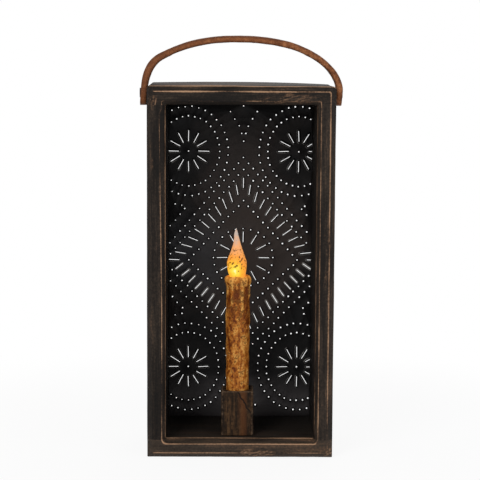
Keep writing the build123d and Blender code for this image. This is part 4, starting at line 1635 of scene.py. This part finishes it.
@dataclass
class CandleHolder:
    """Square block with a round socket, rough-sawn and cracked on its front.

    Attributes:
        socket_lip: How far out and down each ring of the lip is, in millimetres, and how rubbed.
    """

    edge: float = 0.9 * MM
    foot_edge: float = 0.4 * MM
    socket_depth: float = 20.0 * MM
    socket_radius: float = 10.0 * MM
    roughness: float = 0.30 * MM
    saw_mark: float = 1.1 * MM
    dent_size: float = 6 * MM
    socket_lip: Rings = ((1.6, 0.02, 0.1), (0.5, 0.05, 0.6), (0.05, 0.6, 0.0))
    crack: Stops = ((-1.6 * MM, 52.1 * MM), (3.5 * MM, 43.7 * MM), (8.5 * MM, 35.2 * MM))
    crack_width: float = 0.85 * MM
    crack_bend: float = 0.5 * MM
    crack_depth: float = 0.5 * MM
    corner_reach: float = 2.0 * MM
    side_steps: int = 44
    rise_steps: int = 64
    low: Vector = field(init=False)
    high: Vector = field(init=False)
    middle: Vector = field(init=False)
    half: float = field(init=False)

    def __post_init__(self) -> None:
        """Takes the block's size from the frame."""
        self.low, self.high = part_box("candle_holder")
        self.middle = (self.low + self.high) / 2
        self.half = (self.high.x - self.low.x) / 2

    def outline(self, half: float) -> list[Spot]:
        """A square with rounded corners, with equally many points for any size."""
        arm = half - self.edge
        corners = [(-arm, -arm, 180), (arm, -arm, 270), (arm, arm, 0), (-arm, arm, 90)]
        return [(x, y) for x, y, _ in rounded(corners, self.edge, 4, (self.side_steps,))]

    def cracked(self, x: float, z: float) -> float:
        """How deep the crack is at a point of the front.

        Args:
            x: Place across.
            z: Height.

        Returns:
            A share of its full depth, 0 or less outside it.
        """
        best = 1.0
        for (ax, az), (bx, bz) in zip(self.crack, self.crack[1:]):
            along = Vector((bx - ax, bz - az))
            share = max(0.0, min(1.0, Vector((x - ax, z - az)).dot(along) / along.length_squared))
            bend = self.crack_bend * math.sin(share * 9.0)
            spot = Vector((ax, az)) + along * share + Vector((bend, 0))
            best = min(best, (Vector((x, z)) - spot).length / self.crack_width)
        return 1.0 - best

    def levels(self) -> list[Triple]:
        """The rings of the outside, from the foot up.

        Returns:
            Height, inset and rubbed edge of each.
        """
        foot, top = self.low.z, self.high.z
        rise = (top - foot - self.edge) / self.rise_steps
        levels = [(foot, self.foot_edge, 0.0), (foot + self.foot_edge, 0.0, 0.2)]
        levels += [(foot + rise * (i + 1), 0.0, 0.0) for i in range(self.rise_steps)]
        return levels + [(top - self.edge * 0.3, self.edge * 0.3, 1.0), (top, self.edge, 0.9)]

    def side_ring(self, draft: Draft, z: float, inset: float, edge: float) -> list[int]:
        """Adds one ring of the rough outside.

        Args:
            draft: The block so far.
            z: Height of the ring.
            inset: How far it is drawn in.
            edge: How much its edge is rubbed.

        Returns:
            The numbers of the new points.
        """
        points, cracks, edges = [], [], []
        for x, y in self.outline(self.half - inset):
            place = Vector((self.middle.x + x, self.middle.y + y, z))
            sawn = ripple(Vector((place.x, place.y, z * 0.12)), self.saw_mark, 2.0)
            dent = self.roughness * (0.6 * sawn + 0.4 * ripple(place, self.dent_size, 3.0))
            crack = self.cracked(place.x, z) if y < -self.half * 0.9 else 0.0
            outside = max(abs(x), abs(y)) > self.half - self.foot_edge
            on_corner = outside and abs(abs(x) - abs(y)) < self.corner_reach
            inward = Vector((-x, -y, 0)).normalized()
            points.append(place + inward * (dent + self.crack_depth * crack))
            cracks.append(crack)
            edges.append(max(edge, 0.7 if on_corner else 0.0))
        return draft.ring(points, crack=cracks, edge=edges)

    def socket_ring(self, draft: Draft, radius: float, z: float, edge: float) -> list[int]:
        """Adds one ring of the socket, its points in line with those of the outside."""
        centre = Vector((self.middle.x, self.middle.y, z))
        points = [centre + Vector((x, y, 0)).normalized() * radius for x, y in self.outline(self.half)]
        return draft.ring(points, crack=0.0, edge=edge)

    def build(self) -> None:
        """Makes the block."""
        draft = Draft()
        rings = [self.side_ring(draft, *level) for level in self.levels()]
        lip = self.socket_lip
        for past, drop, edge in (*lip, (lip[-1][0], self.socket_depth / MM, 0.0)):
            radius, z = self.socket_radius + past * MM, self.high.z - drop * MM
            rings.append(self.socket_ring(draft, radius, z, edge))
        draft.stack(rings)
        x, y, _ = self.middle
        draft.fan(rings[-1], Vector((x, y, self.high.z - self.socket_depth)), crack=0.0, edge=0.0)
        draft.fan(rings[0], Vector((x, y, self.low.z)), crack=0.0, edge=0.0)
        mesh = draft.mesh("candle_block", 40.0)
        present(mesh, BlockStain().make(), "case", ["candle_holder"])


@dataclass
class TaperCandle:
    """The wax coat: a lumpy dipped shank, drips and an uneven rim round a shallow cup.

    Attributes:
        shank: Radius in millimetres at each share of the height.
        drips: Angle in degrees, length in millimetres and strength of each drip.
        cup: How far in and down each ring of the cup lies, and its share of the cup's own height.
        rim_swell: How far the rim swells, evenly and in lumps, in millimetres.
    """

    around: int = 96
    along: int = 150
    lump: float = 0.55 * MM
    drip_height: float = 0.85 * MM
    drip_width: float = 9.0
    lean: float = 0.28 * MM
    sample_radius: float = 10.0 * MM
    widest: float = 11.1 * MM
    socket_fit: float = 9.75 * MM
    cup_radius: float = 7.4 * MM
    narrowest_cup: float = 7.0 * MM
    lump_sizes: Spot = (8.0 * MM, 2.6 * MM)
    rim_lump_sizes: Spot = (5.0 * MM, 7.0 * MM)
    warm_reach: float = 2.6 * MM
    grip_fade: float = 6.0 * MM
    rim_below: float = 4.2
    rim_reach: float = 3.2
    rim_swell: Spot = (0.75, 0.9)
    lip_inward: float = 0.9 * MM
    lip_reach: float = 1.3
    uneven_rim: float = 1.7 * MM
    tube_gap: float = 0.1 * MM
    shank: Stops = ((0.0, 9.25), (0.2, 9.3), (0.45, 9.7), (0.7, 9.95), (0.9, 9.75), (1.0, 9.7))
    drips: Rings = (
        (-118.0, 26.0, 0.9),
        (-96.0, 12.0, 0.6),
        (-70.0, 34.0, 0.9),
        (-48.0, 9.0, 0.8),
        (-20.0, 20.0, 0.7),
        (35.0, 28.0, 0.8),
        (80.0, 15.0, 0.9),
        (130.0, 22.0, 0.8),
        (-150.0, 17.0, 0.8),
    )
    cup: Rings = ((0.8, 0.1, 0.0), (1.7, 0.7, 0.0), (2.6, 2.6, 0.2), (3.4, 6.0, 0.6))
    low: Vector = field(init=False)
    high: Vector = field(init=False)
    middle: Vector = field(init=False)
    socket: float = field(init=False)

    def __post_init__(self) -> None:
        """Takes the candle's size from the frame."""
        self.low, self.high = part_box("wax_sleeve")
        self.middle = (self.low + self.high) / 2
        self.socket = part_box("candle_holder")[1].z - self.low.z

    def shank_radius(self, share: float) -> float:
        """Mean radius of the shank.

        Args:
            share: Share of its height.

        Returns:
            The radius.
        """
        for (start, low), (end, high) in zip(self.shank, self.shank[1:]):
            if share <= end:
                return MM * (low + (high - low) * (share - start) / (end - start))
        return self.shank[-1][1] * MM

    def drip_at(self, degrees: float, below: float) -> float:
        """How thick the drips are at a point.

        Args:
            degrees: Its angle.
            below: Its distance below the rim.

        Returns:
            A value from 0 to about 1.
        """
        thickest = 0.0
        for angle, length, strength in self.drips:
            gap = (degrees - angle + 180) % 360 - 180
            width = math.exp(-((gap / self.drip_width) ** 2))
            down = below / (length * MM)
            body = 1.0 if down < 0.8 else math.exp(-(((down - 0.8) / 0.12) ** 2))
            bulb = 0.5 * math.exp(-(((down - 0.85) / 0.1) ** 2))
            thickest = max(thickest, strength * width * (body * 0.75 + bulb))
        return thickest

    def radius_at(self, share: float, z: float, out: Vector, drip: float) -> float:
        """Radius of the lumpy coat at one point.

        Args:
            share: Share of the height.
            z: Height of the point.
            out: Its direction from the middle.
            drip: How thick the drips are there.

        Returns:
            The radius.
        """
        sample = out * self.sample_radius + Vector((0, 0, z))
        broad, fine = self.lump_sizes
        lumps = self.lump * (2 * ripple(sample, broad, 1.0) - 1)
        lumps += 0.35 * self.lump * (2 * ripple(sample, fine, 2.0) - 1) * (1 + 1.4 * share**6)
        grip = 1.0 - max(0.0, min(1.0, (z - self.low.z - self.socket) / self.grip_fade))
        radius = self.shank_radius(share) + (lumps + self.drip_height * drip) * (1 - grip * 0.85)
        below = (self.high.z - z) / MM
        rim = math.exp(-(((below - self.rim_below) / self.rim_reach) ** 2))
        even, lumpy = self.rim_swell
        radius += (even + lumpy * ripple(out * self.sample_radius, self.rim_lump_sizes[0], 4.0)) * MM * rim
        radius -= self.lip_inward * math.exp(-((below / self.lip_reach) ** 2))
        return min(radius, self.widest if share > 0.25 else self.socket_fit)

    def coat_ring(self, draft: Draft, share: float) -> list[int]:
        """Adds one ring of the outside.

        Args:
            draft: The coat so far.
            share: Share of the height.

        Returns:
            The numbers of the new points.
        """
        height = self.high.z - self.low.z
        points, drips, spices = [], [], []
        for i in range(self.around):
            degrees = 360.0 * i / self.around - 180.0
            turn = math.radians(degrees)
            out = Vector((math.cos(turn), math.sin(turn), 0))
            uneven = self.uneven_rim * ripple(out * self.sample_radius, self.rim_lump_sizes[1], 9.0)
            z = self.low.z + height * share - uneven * share**12
            drip = self.drip_at(degrees, self.high.z - z)
            centre = Vector((self.middle.x + self.lean * share, self.middle.y, z))
            points.append(centre + out * self.radius_at(share, z, out, drip))
            drips.append(min(1.0, drip))
            front = max(0.0, math.cos(turn + math.radians(80)))
            spices.append(front * (0.10 + 0.90 * math.exp(-(((share - 0.85) / 0.17) ** 2))))
        # Painted light: how strongly the flame's glow is painted on the wax, strongest at the rim.
        flame_glow = math.exp(-((height * (1 - share) / self.warm_reach) ** 2))
        return draft.ring(points, drip=drips, spice=spices, glow=flame_glow)

    def cup_rings(self, draft: Draft, rim: Sequence[Vector], floor: float) -> list[list[int]]:
        """Adds the rings of the cup inside the rim.

        Args:
            draft: The coat so far.
            rim: Points of the outside's last ring.
            floor: Height of the cup's floor.

        Returns:
            The numbers of the points of each ring.
        """
        x, y = self.middle.x + self.lean, self.middle.y
        rings = []
        for inward, drop, own in self.cup:
            points = []
            for place in rim:
                out = Vector((place.x - x, place.y - y, 0))
                radius = max(out.length - inward * MM, self.narrowest_cup)
                level = max(floor, self.high.z - drop * MM)
                z = (place.z - drop * MM) * (1 - own) + level * own
                points.append(Vector((x, y, z)) + out.normalized() * radius)
            # The cup gets the full painted glow of the flame.
            rings.append(draft.ring(points, drip=0.3, spice=0.1, glow=1.0))
        return rings

    def build(self) -> None:
        """Makes the wax coat."""
        draft = Draft()
        rings = [self.coat_ring(draft, level / self.along) for level in range(self.along + 1)]
        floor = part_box("flame_bulb")[0].z
        rings += self.cup_rings(draft, draft.points[-self.around :], floor)
        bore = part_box("battery_tube")
        tube = (bore[1].x - bore[0].x) / 2 + self.tube_gap
        for radius, z in ((self.cup_radius, floor), (tube, floor), (tube, self.low.z)):
            centre = Vector((self.middle.x, self.middle.y, z))
            points = circle(centre, Vector((-1, 0, 0)), Vector((0, -1, 0)), radius, self.around)
            rings.append(draft.ring(points, drip=0.0, spice=0.0))
        draft.stack(rings)
        draft.skin(rings[-1], rings[0])
        present(draft.mesh("dipped_wax_coat", 60.0), DippedWax().make(), "candle", ["wax_sleeve"])


@dataclass
class FlameCover:
    """Soft flame-shaped cover, leaning a little and drawn out to a thin tip.

    Attributes:
        spot: How far left of the middle and above the foot the light shows brightest.
        spot_reach: How far its brightness goes across and up.
        stops: Radius and sideways lean in millimetres at each share of the height.
    """

    around: int = 56
    along: int = 90
    spot: Spot = (2.6 * MM, 12.0 * MM)
    spot_reach: Spot = (9.0 * MM, 15.0 * MM)
    dent: float = 0.35 * MM
    dent_size: float = 4 * MM
    thinnest: float = 0.25 * MM
    tip_gap: float = 0.1 * MM
    stops: Rings = (
        (0.0, 5.6, 0.0),
        (0.16, 6.8, -0.4),
        (0.24, 7.7, -0.7),
        (0.33, 8.25, -0.9),
        (0.42, 8.0, -0.9),
        (0.50, 6.9, -0.9),
        (0.58, 5.4, -0.85),
        (0.66, 4.1, -0.8),
        (0.74, 3.0, -0.85),
        (0.82, 2.3, -1.15),
        (0.90, 1.7, -1.5),
        (0.96, 0.9, -1.5),
        (1.0, 0.25, -1.45),
    )

    def far_from_light(self, across: float, up: float) -> float:
        """How far a point, placed from the foot's middle, is from the brightest spot: 0 there, 1 far off."""
        x, z = (across + self.spot[0]) / self.spot_reach[0], (up - self.spot[1]) / self.spot_reach[1]
        return min(1.0, math.hypot(x, z))

    def at(self, share: float) -> tuple[float, float]:
        """Radius and sideways lean at a share of the height."""
        radius = smooth_curve([(place, radius * MM) for place, radius, _ in self.stops], share)
        return radius, smooth_curve([(place, lean * MM) for place, _, lean in self.stops], share)

    def build(self) -> None:
        """Makes the cover."""
        low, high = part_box("flame_bulb")
        middle = (low + high) / 2
        height = high.z - low.z - self.tip_gap
        draft = Draft()
        rings = []
        for level in range(self.along + 1):
            share = level / self.along
            radius, lean = self.at(share)
            centre = Vector((middle.x + lean, middle.y, low.z + height * share))
            points = []
            for out in circle(Vector((0, 0, 0)), Vector((1, 0, 0)), Vector((0, 1, 0)), 1.0, self.around):
                dent = self.dent * ripple(centre + out * radius, self.dent_size, 3.0)
                dent *= min(1.0, radius / self.dent_size)
                points.append(centre + out * max(self.thinnest, radius - dent))
            far = [self.far_from_light(p.x - middle.x, p.z - low.z) for p in points]
            rings.append(draft.ring(points, height=share, far=far))
        draft.stack(rings)
        tip = Vector((middle.x + self.at(1.0)[1], middle.y, high.z))
        draft.fan(rings[-1], tip, height=1.0, far=1.0)
        draft.fan(rings[0], Vector((middle.x, middle.y, low.z)), height=0.0, far=0.7)
        present(draft.mesh("flame_cover", 60.0), FlameSkin().make(), "candle", ["flame_bulb"])


@dataclass
class Fasteners:
    """Screws, nails and tacks.

    Attributes:
        head_profile: Depth in millimetres and share of the head's radius down a screw's smooth part.
        nail_profile: The same down a nail, from its cupped head on.
    """

    slot_width: float = 1.0 * MM
    slot_depth: float = 1.0 * MM
    head_profile: Stops = ((0.0, 0.02), (0.06, 0.93), (0.12, 1.0), (0.42, 0.96), (2.0, 0.5), (5.0, 0.5))
    thread_crest: float = 0.5
    thread_root: float = 0.36
    thread_step: float = 0.55
    thread_steps: int = 34
    point: float = 0.08
    screw_sides: int = 48
    nail_profile: Stops = ((0.0, 0.04), (0.45, 0.45), (0.1, 0.8), (0.2, 1.0), (1.1, 0.95), (2.0, 0.56))
    nail_sides: int = 24
    nail_shank: float = 0.56
    nail_taper: float = 4.0 * MM
    nail_sink: float = 0.25 * MM
    nail_shortened: float = 3.0 * MM

    def screw_profile(self, length: float) -> list[Spot]:
        """Outline of a screw, from its head to its point.

        Args:
            length: Length of the screw.

        Returns:
            Depth in millimetres and share of the head's radius at each ring.
        """
        start = self.head_profile[-1][0]
        threads = [
            (start + turn * self.thread_step, self.thread_crest if turn % 2 else self.thread_root)
            for turn in range(self.thread_steps)
        ]
        return [*self.head_profile, *threads, (length / MM, self.point)]

    def screw(self, node: str, out: Vector, finish: bpy.types.Material) -> None:
        """Makes a countersunk screw with a slotted head in place of a CAD screw.

        Args:
            node: CAD node of the screw.
            out: Direction that the head faces.
            finish: Its finish.
        """
        low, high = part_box(node)
        length = abs((high - low).dot(out))
        head = (high.y - low.y) / 2
        face = (low + high) / 2 + out * length / 2
        side = Vector((0, 0, 1)) if abs(out.x) > 0.5 else Vector((1, 0, 0))
        across = out.cross(side)
        draft = Draft()
        rings = []
        for depth, share in self.screw_profile(length):
            points = []
            for place in circle(Vector((0, 0, 0)), side, across, head * share, self.screw_sides):
                in_slot = abs(place.dot(across)) < self.slot_width / 2 and depth < 0.1
                sink = depth * MM + (self.slot_depth if in_slot else 0.0)
                points.append(face + place - out * min(sink, length))
            rings.append(draft.ring(points))
        draft.stack(rings)
        draft.fan(rings[0], face - out * self.slot_depth)
        draft.fan(rings[-1], face - out * length)
        mesh = draft.mesh(node.replace("screw", "wood_screw"), 30.0)
        present(mesh, finish, "case", [node])

    def nail(self, draft: Draft, face: Vector, out: Vector, head: float, length: float) -> None:
        """Adds one nail.

        Args:
            draft: The nails so far.
            face: Middle of its head.
            out: Direction that the head faces.
            head: Radius of the head.
            length: Length of the nail.
        """
        profile = [(depth * MM, share) for depth, share in self.nail_profile]
        profile += [(length - self.nail_taper, self.nail_shank), (length, self.point)]
        side, across = Vector((1, 0, 0)), Vector((0, 1, 0))
        rings = []
        for depth, share in profile:
            rings.append(draft.ring(circle(face - out * depth, side, across, head * share, self.nail_sides)))
        draft.stack(rings)
        draft.fan(rings[0], face)
        draft.fan(rings[-1], face - out * length)

    def nails(self, finish: bpy.types.Material) -> None:
        """Makes the finish nails, their cupped heads just below the worn wood.

        Args:
            finish: Their finish.
        """
        case = WoodenCase()
        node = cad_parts["case_nails"]
        known = [node.matrix_world @ v.co for v in node.data.vertices]
        middle_z = (case.low.z + case.high.z) / 2
        draft = Draft()
        for side, way, end in itertools.product((-1, 1), repeat=3):
            near = [p for p in known if p.x * side > 0 and p.y * way > 0 and (p.z - middle_z) * end > 0]
            low = Vector([min(column) for column in zip(*near)])
            high = Vector([max(column) for column in zip(*near)])
            face = (low + high) / 2
            face.z = high.z - case.fall(face) if end > 0 else low.z
            face.z -= end * self.nail_sink
            length = high.z - low.z - self.nail_shortened
            self.nail(draft, face, Vector((0, 0, end)), (high.x - low.x) / 2, length)
        present(draft.mesh("case_finish_nails", 40.0), finish, "case", ["case_nails"])

    def build(self) -> None:
        """Makes the screws and nails and dresses the tacks."""
        finish = DarkSteel().make()
        self.screw("left_strap_screw", Vector((-1, 0, 0)), finish)
        self.screw("right_strap_screw", Vector((1, 0, 0)), finish)
        self.screw("holder_screw", Vector((0, 0, -1)), finish)
        self.nails(finish)
        dress("panel_tacks", finish)


def dress(node: str, finish: bpy.types.Material) -> None:
    """Gives a CAD node its finish.

    Args:
        node: Name of the node.
        finish: The material.
    """
    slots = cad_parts[node].data.materials
    slots.clear()
    slots.append(finish)
    LOG.info("node %s: %s", node, finish.name)


@dataclass
class CandleWorks:
    """Battery tube, cells, light, base cap and switch inside and under the candle."""

    def build(self) -> None:
        """Dresses the inner pieces."""
        ivory = PlainFinish("ivory_plastic", (0.55, 0.52, 0.44), (0.66, 0.63, 0.55), 0.45)
        jacket = PlainFinish("cell_jacket", (0.020, 0.030, 0.022), (0.045, 0.060, 0.045), 0.30, 0.4)
        brass = PlainFinish("plated_brass", (0.50, 0.34, 0.13), (0.66, 0.48, 0.22), 0.28, 1.0)
        board = PlainFinish("board_laminate", (0.010, 0.065, 0.022), (0.020, 0.100, 0.035), 0.40)
        resin = PlainFinish("amber_resin", (0.70, 0.42, 0.12), (0.80, 0.52, 0.20), 0.12)
        black = PlainFinish("black_plastic", (0.010, 0.010, 0.010), (0.022, 0.022, 0.022), 0.42)
        pairs = {
            ivory: ("battery_tube", "base_cap"),
            jacket: ("lower_battery", "upper_battery"),
            brass: ("contact_plate", "battery_strip", "contact_spring"),
            board: ("circuit_board",),
            resin: ("led",),
            black: ("switch_body", "switch_slider"),
        }
        for finish, nodes in pairs.items():
            material = finish.make()
            for node in nodes:
                dress(node, material)


@dataclass(frozen=True)
class Lamp:
    """A soft square lamp, with its power in watts."""

    name: str
    place: Triple
    size: float
    power: float
    tint: Colour


@dataclass
class Studio:
    """Camera, lamps, world and floor."""

    eye: Vector = field(default_factory=lambda: Vector((-12.78, -1440.05, 364.53)) * MM)
    pitch: float = math.radians(7.498)
    yaw: float = math.radians(0.495)
    roll: float = math.radians(0.301)
    focal_pixels: float = 1746.0
    image_pixels: float = 480.0
    sensor: float = 36.0
    even_light: float = 0.44
    floor_reach: float = 12.0
    floor_tone: Colour = (0.80, 0.80, 0.80)
    aim: Triple = (0.0, 0.0, 0.16)
    lamps: tuple[Lamp, ...] = (
        Lamp("key", (-0.9, -1.5, 1.35), 0.9, 21.0, (1.0, 0.985, 0.96)),
        Lamp("fill", (1.3, -1.2, 0.7), 1.2, 9.0, (0.96, 0.98, 1.0)),
        Lamp("back", (0.3, 1.3, 1.3), 1.0, 8.0, (1.0, 1.0, 1.0)),
    )

    def camera(self) -> None:
        """Places the camera as the photograph's."""
        level = math.cos(self.pitch)
        ahead = Vector((math.sin(self.yaw) * level, math.cos(self.yaw) * level, -math.sin(self.pitch)))
        right = ahead.cross(Vector((0, 0, 1))).normalized()
        up = right.cross(ahead)
        turned_right = right * math.cos(self.roll) + up * math.sin(self.roll)
        turned_up = up * math.cos(self.roll) - right * math.sin(self.roll)
        data = bpy.data.cameras.new("camera")
        data.sensor_width = self.sensor
        data.lens = self.focal_pixels * self.sensor / self.image_pixels
        data.clip_start = 0.05
        data.clip_end = 50.0
        camera = placed("camera", data)
        rows = Matrix((turned_right, turned_up, -ahead)).transposed().to_4x4()
        camera.matrix_world = Matrix.Translation(self.eye) @ rows
        bpy.context.scene.camera = camera

    def light(self, lamp: Lamp) -> None:
        """Sets up a lamp that looks at the middle of the lantern.

        Args:
            lamp: The lamp.
        """
        data = bpy.data.lights.new(lamp.name, "AREA")
        data.size = lamp.size
        data.energy = lamp.power
        data.color = lamp.tint
        light = placed(lamp.name, data)
        aim = Vector(self.aim) - Vector(lamp.place)
        turn = aim.to_track_quat("-Z", "Y").to_matrix().to_4x4()
        light.matrix_world = Matrix.Translation(lamp.place) @ turn

    @staticmethod
    def seen(g: Graph) -> Wire:
        """1 for rays that look at the background, straight or through glass or a mirror."""
        kinds = ("Is Camera Ray", "Is Glossy Ray", "Is Transmission Ray")
        rays = [g.node("ShaderNodeLightPath", {}, {}, kind) for kind in kinds]
        return rays[0].high(rays[1]).high(rays[2])

    def world(self) -> None:
        """A white background and an even light."""
        world = bpy.data.worlds.new("studio")
        bpy.context.scene.world = world
        g = Graph(world)
        colour = (1.0, 1.0, 1.0, 1.0)
        even = g.node("ShaderNodeBackground", {}, {"Color": colour, "Strength": self.even_light})
        white = g.node("ShaderNodeBackground", {}, {"Color": colour, "Strength": 1.0})
        ray = g.node("ShaderNodeLightPath", {}, {}, "Is Camera Ray")
        both = g.node("ShaderNodeMixShader", {}, {0: ray, 1: even, 2: white})
        g.add("ShaderNodeOutputWorld", {}, {"Surface": both})

    def floor(self) -> None:
        """A plain pale floor that shows white and keeps the lantern's shadow."""
        mesh = bpy.data.meshes.new("floor")
        reach = self.floor_reach
        corners = [(-reach, -reach, 0), (reach, -reach, 0), (reach, reach, 0), (-reach, reach, 0)]
        mesh.from_pydata(corners, [], [(0, 1, 2, 3)])
        floor = placed("floor", mesh)
        g = Graph.named("pale_floor")
        paint = g.node("ShaderNodeBsdfDiffuse", {}, {"Color": (*self.floor_tone, 1.0)})
        glow = g.node("ShaderNodeEmission", {}, {"Color": (1.0, 1.0, 1.0, 1.0), "Strength": 1.0})
        x, y = g.axis(0), g.axis(1)
        share = self.seen(g) * (0.90 + (x * x + y * y).rise(0.02, 0.20) * 0.10)
        both = g.node("ShaderNodeMixShader", {}, {0: share, 1: paint, 2: glow})
        g.add("ShaderNodeOutputMaterial", {}, {"Surface": both})
        mesh.materials.append(g.owner)

    def build(self) -> None:
        """Sets the whole studio."""
        bpy.context.scene.view_settings.view_transform = "Standard"
        self.camera()
        self.world()
        self.floor()
        for lamp in self.lamps:
            self.light(lamp)


def main() -> None:
    """Builds the lantern, one sub-assembly after another."""
    logging.basicConfig(level=logging.INFO, format="%(message)s")
    parts: tuple[Callable[[], None], ...] = (
        Studio().build,
        WoodenCase().build,
        PunchedTin().build,
        StrapHandle().build,
        CandleHolder().build,
        TaperCandle().build,
        FlameCover().build,
        Fasteners().build,
        CandleWorks().build,
    )
    for build in parts:
        build()


if __name__ == "__main__":
    main()
